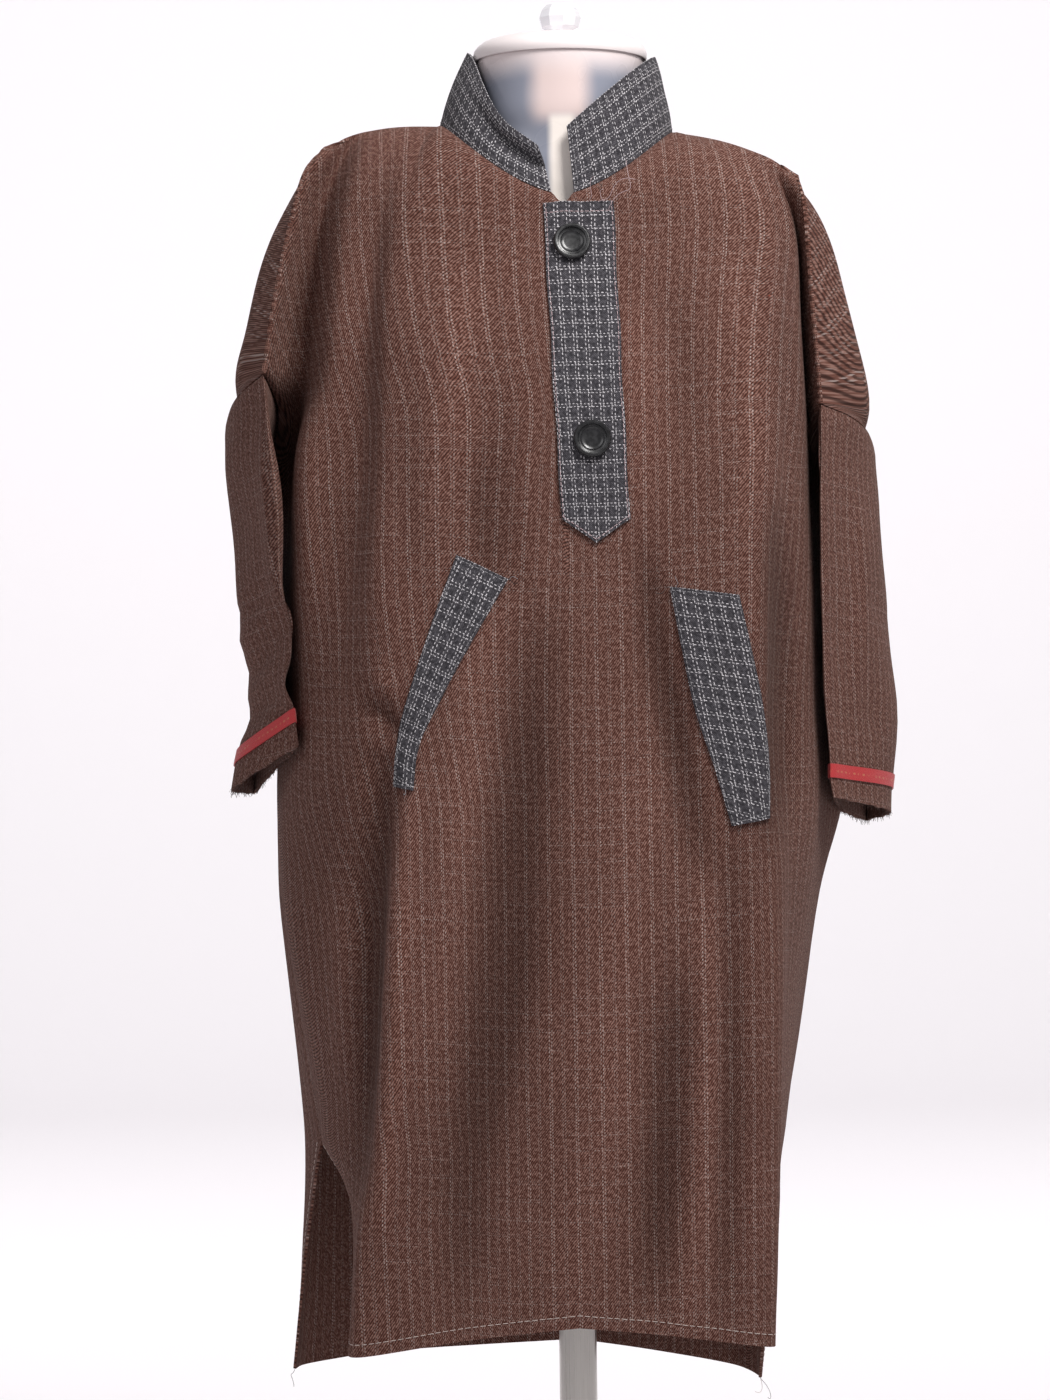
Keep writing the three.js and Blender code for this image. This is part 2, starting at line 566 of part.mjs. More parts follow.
// The front's place at a distance from the centre line and a height.
function onFront(distance, z) {
  let above = alongRow(0, distance);
  for (let j = 1; j < front.rows.length; j++) {
    const below = alongRow(j, distance);
    if (below.p.z <= z) {
      const part = (above.p.z - z) / (above.p.z - below.p.z);
      return { p: above.p.lerp(below.p, part), out: above.out.lerp(below.out, part).normalize() };
    }
    above = below;
  }
  return above;
}

// A strip of cloth on the front, with a point at its lower end.
function addStrip(name, strip) {
  const axis = new THREE.Vector2(strip.bottom[0] - strip.top[0], strip.bottom[1] - strip.top[1]);
  const length = axis.length();
  axis.normalize();
  const [across, down] = strip.steps;
  const lift = tweedWall / 2 + strip.lift + checkWall / 2;
  const rows = [];
  for (let j = 0; j <= down; j++) {
    const row = [];
    for (let i = 0; i <= across; i++) {
      const side = (2 * i) / across - 1;
      const along = (j / down) * (length + strip.point * (1 - Math.abs(side)));
      const aside = (side * strip.width) / 2;
      const distance = strip.top[0] + axis.x * along - axis.y * aside;
      row.push(onFront(distance, strip.top[1] + axis.y * along + axis.x * aside));
    }
    rows.push(row);
  }
  const places = rows.map((row) => row.map((place) => place.p));
  const directions = rows.map((row) => row.map((place) => place.out));
  addMesh(name, wallGeometry(places, directions, checkWall, false, lift), materials.check);
}

addStrip("placket", placket);
for (const [name, strip] of Object.entries(welts)) addStrip("pocket_welt_" + name, strip);

// A round coat button with a raised rim.
function buttonGeometry() {
  const { radius, thick } = buttons;
  const profile = [
    [0, 0], [radius - 2, 0], [radius, 1.4], [radius, thick - 1], [radius - 1, thick],
    [radius - 2.4, thick], [radius - 3.4, thick - 1.3], [0, thick - 1.3],
  ];
  return new THREE.LatheGeometry(profile.map(([r, y]) => new THREE.Vector2(r, y)), 24);
}

for (const [name, [distance, z]] of Object.entries(buttons.at)) {
  const { p, out } = onFront(distance, z);
  const mesh = addMesh("button_" + name, buttonGeometry(), materials.button);
  mesh.position.copy(p).addScaledVector(out, tweedWall / 2 + seamGap + checkWall + buttons.lift);
  mesh.quaternion.setFromUnitVectors(point(0, 1, 0), out);
}

for (const name of ["left", "right"]) {
  const sleeve = sheets.find((sheet) => sheet.name === "sleeve_" + name);
  const rows = tapeRows.map((row) => sleeve.rows.at(row));
  const directions = tapeRows.map((row) => sleeve.directions.at(row));
  const lift = tweedWall / 2 + seamGap + tapeWall / 2;
  addMesh("cuff_tape_" + name, wallGeometry(rows, directions, tapeWall, true, lift), materials.tape);
}

// ---------------------------------------------------------------- the dress form and its stand

// A loft down the form's outside, across its underside and up the bore for the pole.
function formGeometry() {
  const ring = ({ z, halfX, frontY, backY, pinch }) => {
    const middle = (frontY + backY) / 2;
    const halfY = (backY - frontY) / 2;
    return Array.from({ length: formSides }, (_, i) => {
      const a = (2 * Math.PI * i) / formSides;
      const across = Math.sign(Math.sin(a)) * Math.abs(Math.sin(a)) ** pinch;
      return point(halfX * Math.cos(a), middle + halfY * across, z);
    });
  };
  const bore = (z) => ring({ z, halfX: pole.bore, frontY: -pole.bore, backY: pole.bore, pinch: 1 });
  const boreTop = pole.topZ + seamGap;
  const rings = [...formRings.map(ring), bore(formRings.at(-1).z), bore(boreTop)];
  const places = [point(0, 0, neck.topZ), ...rings.flat(), point(0, 0, boreTop)];
  const at = (j, i) => 1 + j * formSides + (i % formSides);
  const index = [];
  for (let i = 0; i < formSides; i++) {
    index.push(0, at(0, i), at(0, i + 1));
    for (let j = 0; j + 1 < rings.length; j++) {
      index.push(at(j, i), at(j + 1, i), at(j + 1, i + 1));
      index.push(at(j, i), at(j + 1, i + 1), at(j, i + 1));
    }
    index.push(places.length - 1, at(rings.length - 1, i + 1), at(rings.length - 1, i));
  }
  return meshGeometry(places, index);
}

// A solid of revolution about the pole's axis, from [radius, height] pairs.
function turned(profile, sides) {
  const lathe = new THREE.LatheGeometry(profile.map(([r, z]) => new THREE.Vector2(r, z)), sides);
  return lathe.rotateX(Math.PI / 2);
}

const capFoot = neck.topZ + seamGap;
const capTop = capFoot + 14;
const knobFoot = capTop + seamGap;

addMesh("dress_form", formGeometry(), materials.form);
addMesh(
  "neck_cap",
  turned([
    [0, capFoot], [56.5, capFoot], [57.5, capFoot + 3], [54, capFoot + 10.5], [46, capFoot + 13],
    [14, capTop], [0, capTop],
  ], 40),
  materials.cap,
);
addMesh(
  "cap_knob",
  turned([
    [0, knobFoot], [7, knobFoot], [6, knobFoot + 4], [13, knobFoot + 8], [14.5, knobFoot + 14],
    [10, knobFoot + 21], [0, knobFoot + 23],
  ], 10),
  materials.knob,
);
addMesh(
  "pole",
  turned([[0, pole.footZ], [pole.radius, pole.footZ], [pole.radius, pole.topZ], [0, pole.topZ]], 28),
  materials.steel,
);
addMesh(
  "base",
  turned([
    [0, 0], [base.radius, 0], [base.radius, base.plate - base.chamfer],
    [base.radius - base.chamfer, base.plate], [base.bossRadius, base.plate],
    [base.bossRadius, base.bossTop], [pole.bore, base.bossTop], [pole.bore, base.plate], [0, base.plate],
  ], 56),
  materials.steel,
);

export default part;
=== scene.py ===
# A child's wool pheran, filled out on a limbless dress form on a pole.
# The cloth is worked out in millimetres from short tables and made in metres. The front faces -Y.
import math
import random

import bmesh
import bpy
import numpy as np
from mathutils import Matrix, Vector, noise
from mathutils.bvhtree import BVHTree


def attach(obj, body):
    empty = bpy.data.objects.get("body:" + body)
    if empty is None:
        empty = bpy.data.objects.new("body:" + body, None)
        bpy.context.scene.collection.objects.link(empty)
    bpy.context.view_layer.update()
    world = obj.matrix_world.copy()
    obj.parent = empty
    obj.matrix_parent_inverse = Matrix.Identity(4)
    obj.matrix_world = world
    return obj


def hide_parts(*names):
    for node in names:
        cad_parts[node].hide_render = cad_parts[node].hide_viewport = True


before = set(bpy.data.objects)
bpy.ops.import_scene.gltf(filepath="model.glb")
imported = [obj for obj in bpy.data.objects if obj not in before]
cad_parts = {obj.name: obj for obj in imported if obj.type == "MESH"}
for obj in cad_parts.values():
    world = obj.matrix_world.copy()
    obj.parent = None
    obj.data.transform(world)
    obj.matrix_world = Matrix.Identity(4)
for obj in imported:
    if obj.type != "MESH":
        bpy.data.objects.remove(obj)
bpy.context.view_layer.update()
bpy.ops.object.select_all(action="DESELECT")
print("frame loaded")

mm = 0.001
dice = random.Random(7)

cameraSetup = {"x": -0.0293, "away": 2.6, "height": 0.734, "lens": 100.3, "sensor": 36, "roll": 0.014,
               "reach": 60}


def addCamera():
    bpy.ops.object.camera_add(location=(cameraSetup["x"], -cameraSetup["away"], cameraSetup["height"]),
                              rotation=(math.pi / 2, cameraSetup["roll"], 0))
    camera = bpy.context.object
    camera.data.sensor_fit = "VERTICAL"
    camera.data.sensor_height = cameraSetup["sensor"]
    camera.data.lens = cameraSetup["lens"]
    camera.data.clip_end = cameraSetup["reach"]
    bpy.context.scene.camera = camera


lamps = {
    "key": {"at": (0.72, -1.05, 2.3), "aim": (0, 0, 1.05), "size": 0.7, "power": 40,
            "colour": (1.0, 0.985, 0.965)},
    "fill": {"at": (-1.3, -1.8, 2.3), "aim": (-0.1, 0, 0.95), "size": 1.2, "power": 11,
             "colour": (1.0, 0.985, 1.0)},
}
for sign, name in ((-1, "wallLeft"), (1, "wallRight")):
    lamps[name] = {"at": (2.1 * sign, 1.3, 2.8), "aim": (0.2 * sign, 5.8, 1.9), "size": 1.6, "power": 88,
                   "colour": (1.0, 0.99, 1.0)}
worldLight = {"colour": (1.0, 0.975, 0.99), "strength": 0.26}
room = {"colour": (0.93, 0.905, 0.925), "front": -8.0, "halfWidth": 9.0, "wallAway": 4.4, "sweep": 1.4,
        "sweepSteps": 12, "wallHeight": 6.0}


def addLights():
    for name, lamp in lamps.items():
        bpy.ops.object.light_add(type="AREA", location=lamp["at"])
        light = bpy.context.object
        light.name = name + "Light"
        light.data.energy = lamp["power"]
        light.data.size = lamp["size"]
        light.data.color = lamp["colour"]
        aim = Vector(lamp["aim"]) - Vector(lamp["at"])
        light.rotation_euler = aim.to_track_quat("-Z", "Y").to_euler()
    world = bpy.data.worlds.new("studio")
    world.use_nodes = True
    background = world.node_tree.nodes["Background"]
    background.inputs["Color"].default_value = (*worldLight["colour"], 1)
    background.inputs["Strength"].default_value = worldLight["strength"]
    bpy.context.scene.world = world
    bpy.context.scene.view_settings.view_transform = "Standard"


def addRoom():
    sweep, wide = room["sweep"], room["halfWidth"]
    profile = [(room["front"], 0)]
    for k in range(room["sweepSteps"] + 1):
        turn = k / room["sweepSteps"] * math.pi / 2
        profile.append((room["wallAway"] + sweep * math.sin(turn), sweep * (1 - math.cos(turn))))
    profile.append((room["wallAway"] + sweep, room["wallHeight"]))
    places = [(x, y, z) for x in (-wide, wide) for y, z in profile]
    count = len(profile)
    faces = [(k, k + 1, count + k + 1, count + k) for k in range(count - 1)]
    mesh = bpy.data.meshes.new("studioFloor")
    mesh.from_pydata(places, [], [tuple(reversed(face)) for face in faces])
    mesh.shade_smooth()
    floor = bpy.data.objects.new("studioFloor", mesh)
    bpy.context.scene.collection.objects.link(floor)
    material, tree, shader = newFinish("paleFloor")
    shader.inputs["Base Color"].default_value = (*room["colour"], 1)
    shader.inputs["Roughness"].default_value = 0.8
    mesh.materials.append(material)


def newFinish(name):
    material = bpy.data.materials.new(name)
    material.use_nodes = True
    return material, material.node_tree, material.node_tree.nodes["Principled BSDF"]


def plugIn(tree, value, socket):
    if isinstance(value, bpy.types.NodeSocket):
        tree.links.new(value, socket)
    elif isinstance(value, tuple) and socket.type == "RGBA":
        socket.default_value = (*value, 1)
    else:
        socket.default_value = value


def calc(tree, operation, first, second=0.0, third=0.0):
    node = tree.nodes.new("ShaderNodeMath")
    node.operation = operation
    for value, socket in zip((first, second, third), node.inputs):
        plugIn(tree, value, socket)
    return node.outputs[0]


def times(tree, first, *more):
    for value in more:
        first = calc(tree, "MULTIPLY", first, value)
    return first


def scaled(tree, value, by, offset):
    return calc(tree, "MULTIPLY_ADD", value, by, offset)


def plus(tree, first, second):
    return calc(tree, "ADD", first, second)


def mixColours(tree, factor, first, second, how="MIX"):
    node = tree.nodes.new("ShaderNodeMix")
    node.data_type = "RGBA"
    node.blend_type = how
    for value, socket in ((factor, node.inputs[0]), (first, node.inputs[6]), (second, node.inputs[7])):
        plugIn(tree, value, socket)
    return node.outputs[2]


def remap(tree, value, low, high, toLow=0.0, toHigh=1.0):
    node = tree.nodes.new("ShaderNodeMapRange")
    node.interpolation_type = "SMOOTHSTEP"
    for given, socket in zip((value, low, high, toLow, toHigh), node.inputs):
        plugIn(tree, given, socket)
    return node.outputs[0]


# where a point lies on its cloth, in millimetres across and up the weave (the uv map is in metres)
def clothPlace(tree):
    uv = tree.nodes.new("ShaderNodeUVMap")
    uv.uv_map = "cloth"
    split = tree.nodes.new("ShaderNodeSeparateXYZ")
    tree.links.new(uv.outputs[0], split.inputs[0])
    return tuple(times(tree, split.outputs[k], 1000) for k in (0, 1))


def noiseAt(tree, place, scale, detail=2.0):
    node = tree.nodes.new("ShaderNodeTexNoise")
    node.inputs["Scale"].default_value = scale
    node.inputs["Detail"].default_value = detail
    tree.links.new(place, node.inputs["Vector"])
    return node.outputs["Fac"]


# the place in the piece's own space, in metres
def ownPlace(tree):
    return tree.nodes.new("ShaderNodeTexCoord").outputs["Object"]


# mottling with spots of the given size in millimetres
def mottle(tree, across, up, wide, high, detail=2.0, shift=0.0):
    join = tree.nodes.new("ShaderNodeCombineXYZ")
    plugIn(tree, calc(tree, "DIVIDE", across, wide), join.inputs[0])
    plugIn(tree, calc(tree, "DIVIDE", up, high), join.inputs[1])
    join.inputs[2].default_value = shift
    return noiseAt(tree, join.outputs[0], 1, detail)


# 1 on a line of dashes that repeats across, with its dashes running along
def dashLine(tree, across, along, pitch, offset, width, dash, shift=0.0):
    near = calc(tree, "PINGPONG", plus(tree, across, -offset), pitch / 2)
    line = remap(tree, near, width * 0.35, width * 0.75, 1, 0)
    wave = calc(tree, "SINE", scaled(tree, along, 2 * math.pi / dash, shift))
    return times(tree, line, remap(tree, wave, -0.35, 0.35))


def both(tree, first, second):
    return calc(tree, "MAXIMUM", first, second)


# a colour made darker or lighter by a number
def toned(tree, colour, shade):
    grey = tree.nodes.new("ShaderNodeCombineColor")
    for socket in grey.inputs:
        tree.links.new(shade, socket)
    return mixColours(tree, 1.0, colour, grey.outputs[0], "MULTIPLY")


# plugs in a finish: bump is its height with the distance in metres and the strength
def dress(tree, shader, colour, roughness, bump, **others):
    tree.links.new(colour, shader.inputs["Base Color"])
    tree.links.new(roughness, shader.inputs["Roughness"])
    for name, value in others.items():
        shader.inputs[name.replace("_", " ")].default_value = value
    node = tree.nodes.new("ShaderNodeBump")
    for value, socket in zip(bump, ("Height", "Distance", "Strength")):
        plugIn(tree, value, node.inputs[socket])
    tree.links.new(node.outputs[0], shader.inputs["Normal"])


# the tweed's colours and sizes; troughToRidge and the pair after it paint shade into the crease troughs and
# light onto the ridges
tweed = {
    "groove": (0.032, 0.0115, 0.0085), "rib": (0.122, 0.050, 0.037), "ribLight": (0.25, 0.138, 0.113),
    "pale": (0.50, 0.41, 0.38), "ribPitch": 1.65, "steep": 0.7, "stripePitch": 8.15, "stripePair": 1.5,
    "stripeWidth": 0.6, "dash": 2.3, "crossPitch": 10.8, "crossPair": 1.6, "crossWidth": 0.55,
    "paleMix": 0.58, "fleck": (0.30, 0.06, 0.035), "troughToRidge": (-8, 5), "paintedShadeToLight": (0.60, 1.25),
    "bump": (0.0004, 0.55),
}


def tweedWool():
    t = tweed
    material, tree, shader = newFinish("tweedWool")
    u, v = clothPlace(tree)
    # the yarns wander a little
    u = scaled(tree, mottle(tree, u, v, 9, 14, 2, 21.0), 1.0, u)
    wobble = times(tree, mottle(tree, u, v, 5, 5), 0.9)
    slant = plus(tree, scaled(tree, v, -t["steep"], u), wobble)
    rib = calc(tree, "SINE", times(tree, slant, 2 * math.pi / t["ribPitch"]))
    rib = remap(tree, rib, -0.9, 0.7)
    yarn = mottle(tree, u, v, 0.45, 0.6, 3)
    heather = mottle(tree, u, v, 1.6, 2.2, 4, 4.0)
    cloud = mottle(tree, u, v, 45, 90, 3, 9.0)
    colour = mixColours(tree, rib, t["groove"], t["rib"])
    lightness = times(tree, remap(tree, heather, 0.44, 0.60), scaled(tree, rib, 0.75, 0.2))
    colour = mixColours(tree, lightness, colour, t["ribLight"])
    stripes = both(tree, dashLine(tree, u, v, t["stripePitch"], 0, t["stripeWidth"], t["dash"]),
                   dashLine(tree, u, v, t["stripePitch"], t["stripePair"], t["stripeWidth"], t["dash"], 2.6))
    wearAndPaintedShade = remap(tree, mottle(tree, u, v, 1.3, 5, 2, 15.0), 0.34, 0.62)
    stripes = times(tree, stripes, scaled(tree, wearAndPaintedShade, 0.85, 0.15))
    # every other pair of stripes is fainter
    every = scaled(tree, calc(tree, "COSINE", times(tree, u, math.pi / t["stripePitch"])), 0.22, 0.78)
    stripes = times(tree, stripes, every)
    fainter = dashLine(tree, v, u, t["crossPitch"], t["crossPair"], t["crossWidth"], t["dash"], 3.0)
    lines = both(tree, dashLine(tree, v, u, t["crossPitch"], 0, t["crossWidth"], t["dash"], 1.0),
                 times(tree, fainter, 0.5))
    shown = remap(tree, mottle(tree, u, v, 40, 60, 2, 27.0), 0.42, 0.58, 0.1, 0.75)
    lines = times(tree, lines, times(tree, wearAndPaintedShade, shown))
    pale = both(tree, stripes, lines)
    colour = mixColours(tree, times(tree, pale, t["paleMix"]), colour, t["pale"])
    shade = scaled(tree, cloud, 0.30, 0.85)
    shade = times(tree, shade, scaled(tree, yarn, 0.9, 0.55))
    # painted shade darkens the cloth in the troughs of the creases and painted light brightens it on the
    # ridges
    paintedCreaseShade = tree.nodes.new("ShaderNodeAttribute")
    paintedCreaseShade.attribute_name = "paintedCreaseShade"
    shade = times(tree, shade, remap(tree, paintedCreaseShade.outputs["Fac"], *t["troughToRidge"], *t["paintedShadeToLight"]))
    colour = toned(tree, colour, shade)
    # stray coloured flecks spun into the yarn
    fleck = remap(tree, mottle(tree, u, v, 2.0, 3.0, 1, 33.0), 0.80, 0.84)
    colour = mixColours(tree, times(tree, fleck, 0.6), colour, t["fleck"])
    height = plus(tree, times(tree, rib, 0.5), times(tree, yarn, 0.8))
    height = plus(tree, height, times(tree, pale, 0.3))
    dress(tree, shader, colour, remap(tree, yarn, 0.3, 0.7, 0.85, 0.98), (height, *t["bump"]),
          Specular_IOR_Level=0.12, Sheen_Weight=0.05, Sheen_Roughness=0.5, Sheen_Tint=(0.9, 0.7, 0.62, 1))
    return material


checked = {
    "ground": (0.026, 0.024, 0.029), "groundLight": (0.105, 0.099, 0.112), "white": (0.80, 0.77, 0.80),
    "acrossPitch": 8.0, "upPitch": 9.2, "pair": 2.1, "width": 0.5, "dash": 3.05, "ribPitch": 1.5,
    "shorterDash": 0.87, "bump": (0.0004, 0.6),
}


def checkedWool():
    c = checked
    material, tree, shader = newFinish("checkedWool")
    u, v = clothPlace(tree)
    wobble = times(tree, calc(tree, "SUBTRACT", mottle(tree, u, v, 7, 7), 0.5), 1.1)
    u, v = plus(tree, u, wobble), calc(tree, "SUBTRACT", v, wobble)
    slant = plus(tree, u, v)
    rib = remap(tree, calc(tree, "SINE", times(tree, slant, 2 * math.pi / c["ribPitch"])), -0.8, 0.8)
    yarn = mottle(tree, u, v, 0.5, 0.6, 3)
    fluff = mottle(tree, u, v, 2.4, 2.4, 3, 5.0)
    light = times(tree, scaled(tree, rib, 0.6, 0.25), remap(tree, fluff, 0.35, 0.65))
    colour = mixColours(tree, light, c["ground"], c["groundLight"])
    up = both(tree, dashLine(tree, u, v, c["acrossPitch"], 0, c["width"], c["dash"]),
              dashLine(tree, u, v, c["acrossPitch"], c["pair"], c["width"], c["dash"], 1.9))
    dash = c["dash"] * c["shorterDash"]
    across = both(tree, dashLine(tree, v, u, c["upPitch"], 0, c["width"], dash, 0.6),
                  dashLine(tree, v, u, c["upPitch"], c["pair"], c["width"], dash, 2.8))
    wearAndPaintedShade = remap(tree, mottle(tree, u, v, 1.3, 1.7, 2, 12.0), 0.34, 0.56)
    pale = times(tree, both(tree, up, across), scaled(tree, wearAndPaintedShade, 0.85, 0.12))
    colour = mixColours(tree, times(tree, pale, 0.85), colour, c["white"])
    colour = toned(tree, colour, scaled(tree, yarn, 0.8, 0.6))
    height = plus(tree, times(tree, rib, 0.3), times(tree, yarn, 0.8))
    height = plus(tree, height, times(tree, pale, 0.7))
    dress(tree, shader, colour, remap(tree, yarn, 0.3, 0.7, 0.8, 0.97), (height, *c["bump"]),
          Specular_IOR_Level=0.25, Sheen_Weight=0.04, Sheen_Roughness=0.45)
    return material


tape = {"red": (0.66, 0.022, 0.028), "deep": (0.36, 0.012, 0.016), "gold": (0.55, 0.30, 0.12), "pick": 0.55,
        "end": 0.77, "goldEvery": 9.4, "goldAt": 4.7, "goldWide": 1.1, "goldLong": 5.2}


def redTape():
    material, tree, shader = newFinish("redTape")
    u, v = clothPlace(tree)
    pick = calc(tree, "SINE", times(tree, u, 2 * math.pi / tape["pick"]))
    end = calc(tree, "SINE", times(tree, v, 2 * math.pi / tape["end"]))
    weave = remap(tree, times(tree, pick, end), -0.7, 0.7)
    colour = mixColours(tree, weave, tape["deep"], tape["red"])
    ticks = dashLine(tree, v, u, tape["goldEvery"], tape["goldAt"], tape["goldWide"], tape["goldLong"])
    ticks = times(tree, ticks, remap(tree, mottle(tree, u, v, 3, 3), 0.4, 0.6))
    colour = mixColours(tree, times(tree, ticks, 0.55), colour, tape["gold"])
    dress(tree, shader, colour, remap(tree, weave, 0, 1, 0.62, 0.42), (weave, 0.0002, 0.5), Sheen_Weight=0.1)
    return material


# a finish that varies a little with mottling in the piece's own space, sized in metres
def plainFinish(name, first, second, roughness, spot=0.004, bump=0.2, depth=0.0002):
    material, tree, shader = newFinish(name)
    spots = noiseAt(tree, ownPlace(tree), 1 / spot, 4)
    dress(tree, shader, mixColours(tree, remap(tree, spots, 0.3, 0.7), first, second),
          remap(tree, spots, 0.25, 0.75, *roughness), (spots, depth, bump))
    return material, tree, shader


def threadFinish(name, colour):
    darker = tuple(0.7 * c for c in colour)
    return plainFinish(name, darker, colour, (0.7, 0.9), 0.0006)[0]


def blackButton():
    material, tree, shader = plainFinish("blackButton", (0.006, 0.006, 0.007), (0.016, 0.016, 0.018),
                                         (0.26, 0.4), 0.003, bump=0.06)
    shader.inputs["Coat Weight"].default_value = 0.25
    shader.inputs["Coat Roughness"].default_value = 0.2
    return material


# cloudy moulded plastic: part of what is behind it shows through
def cloudyPlastic(name, first, second, through, roughness):
    material, tree, shader = plainFinish(name, first, second, roughness, 0.09, bump=0.03)
    clear = tree.nodes.new("ShaderNodeBsdfTransparent")
    clear.inputs[0].default_value = (0.93, 0.95, 1.0, 1)
    mix = tree.nodes.new("ShaderNodeMixShader")
    mix.inputs[0].default_value = through
    tree.links.new(shader.outputs[0], mix.inputs[1])
    tree.links.new(clear.outputs[0], mix.inputs[2])
    tree.links.new(mix.outputs[0], tree.nodes["Material Output"].inputs["Surface"])
    return material


# the form's plastic; the paler shapes of the cap, the socket and the pole behind the neck are painted on as a
# glow, and the pale top band is painted light over the shade under the cap
seenThroughPaintedGlow = {"cloudy": (0.27, 0.285, 0.35), "top": (0.80, 0.70, 0.70), "warm": (0.74, 0.60, 0.58),
               "pole": (0.98, 0.90, 0.84)}


def formPlastic():
    s = seenThroughPaintedGlow
    material, tree, shader = newFinish("cloudyForm")
    split = tree.nodes.new("ShaderNodeSeparateXYZ")
    tree.links.new(ownPlace(tree), split.inputs[0])
    # millimetres from the middle line and above the floor
    away = calc(tree, "POWER", times(tree, split.outputs[0], 1000), 2)
    away = calc(tree, "SQRT", plus(tree, away, 0.01))
    up = times(tree, split.outputs[2], 1000)
    cloud = noiseAt(tree, ownPlace(tree), 22)
    drift = scaled(tree, cloud, 8, -4)
    # painted glow where the socket and the pole stand behind the neck, and painted light on the top band
    # where shade falls under the cap
    paintedSocketGlow = times(tree, remap(tree, plus(tree, away, drift), 10, 25, 1, 0), remap(tree, up, 1106, 1120))
    paintedPoleGlow = times(tree, remap(tree, away, 5, 11, 1, 0), remap(tree, up, 1112, 1119, 1, 0))
    paintedTopLight = remap(tree, plus(tree, up, drift), 1138, 1160)
    colour = mixColours(tree, paintedSocketGlow, s["cloudy"], s["warm"])
    colour = mixColours(tree, paintedPoleGlow, colour, s["pole"])
    colour = mixColours(tree, paintedTopLight, colour, s["top"])
    dress(tree, shader, colour, remap(tree, cloud, 0.3, 0.7, 0.2, 0.3), (cloud, 0.0004, 0.1),
          Coat_Weight=0.3, Coat_Roughness=0.15)
    return material


def brushedSteel():
    material, tree, shader = newFinish("brushedSteel")
    stretch = tree.nodes.new("ShaderNodeMapping")
    stretch.inputs["Scale"].default_value = (900, 900, 14)
    tree.links.new(ownPlace(tree), stretch.inputs[0])
    streaks = noiseAt(tree, stretch.outputs[0], 1, 3)
    dress(tree, shader, mixColours(tree, streaks, (0.46, 0.43, 0.40), (0.66, 0.64, 0.62)),
          remap(tree, streaks, 0.2, 0.8, 0.24, 0.42), (streaks, 0.0001, 0.12), Metallic=1.0)
    return material


finishes = {
    "tweed": tweedWool(),
    "check": checkedWool(),
    "tape": redTape(),
    "button": blackButton(),
    "form": formPlastic(),
    "cap": cloudyPlastic("cloudyCap", (0.90, 0.82, 0.82), (0.95, 0.88, 0.88), 0.04, (0.3, 0.42)),
    "socket": cloudyPlastic("warmSocket", (0.95, 0.70, 0.62), (1.0, 0.80, 0.72), 0.05, (0.4, 0.5)),
    "knob": cloudyPlastic("clearKnob", (0.90, 0.89, 0.90), (0.97, 0.96, 0.97), 0.35, (0.03, 0.08)),
    "plug": plainFinish("brownPlug", (0.16, 0.07, 0.045), (0.30, 0.15, 0.11), (0.35, 0.6), 0.003)[0],
    "steel": brushedSteel(),
    "paleThread": threadFinish("paleThread", (0.62, 0.52, 0.48)),
    "darkThread": threadFinish("darkThread", (0.03, 0.028, 0.03)),
    "roseThread": threadFinish("roseThread", (0.66, 0.50, 0.52)),
    "brownThread": threadFinish("brownThread", (0.10, 0.055, 0.045)),
    "greyThread": threadFinish("greyThread", (0.34, 0.33, 0.35)),
}
print("finishes made")

fine = 4  # points between two rows or columns of the plain cut
samePlace = 1e-4


def table(columns, rows):
    names = columns.split()
    return [dict(zip(names, row)) for row in rows]


# points along the spline through some points, in equal steps within each span
def alongSpline(points, steps):
    p = np.asarray(points, float)
    before, after = 2 * p[0] - p[1], 2 * p[-1] - p[-2]
    p = np.vstack([before, p, after])
    found = [p[1:2]]
    for span, count in enumerate(steps):
        a, b, c, d = p[span:span + 4]
        gapAB, gapBC, gapCD = (np.linalg.norm(e - s) ** 0.5 for s, e in ((a, b), (b, c), (c, d)))
        gapBC = gapBC if gapBC > samePlace else 1.0
        gapAB = gapAB if gapAB > samePlace else gapBC
        gapCD = gapCD if gapCD > samePlace else gapBC
        start = ((b - a) / gapAB - (c - a) / (gapAB + gapBC) + (c - b) / gapBC) * gapBC
        end = ((c - b) / gapBC - (d - b) / (gapBC + gapCD) + (d - c) / gapCD) * gapBC
        t = (np.arange(1, count + 1) / count)[:, None]
        bend, twist = 3 * (c - b) - 2 * start - end, 2 * (b - c) + start + end
        found.append(b + start * t + bend * t**2 + twist * t**3)
    return np.vstack(found)


def smooth(x, low, high):
    t = np.clip((np.asarray(x, float) - low) / (high - low), 0, 1)
    return t * t * (3 - 2 * t)


def mix(a, b, t):
    return a + (b - a) * t


neckline = {"front": (-70, 1062), "back": (60, 1122), "sideY": 2, "rise": 1.6, "openAngle": 5.5}
shoulderCrown = 5
yokeRows = 16
sectionSteps = [2, 2, 5, 3, 2, 2, 2, 1, 1, 1, 1, 2]
slitSection = 10
slitRow = yokeRows + fine * sum(sectionSteps[:slitSection])
frontSteps, backSteps = [4, 4, 3, 2, 2, 3], [3, 3, 3, 3, 4]
shoulderSteps, sleeveHalfRing = 10, 10

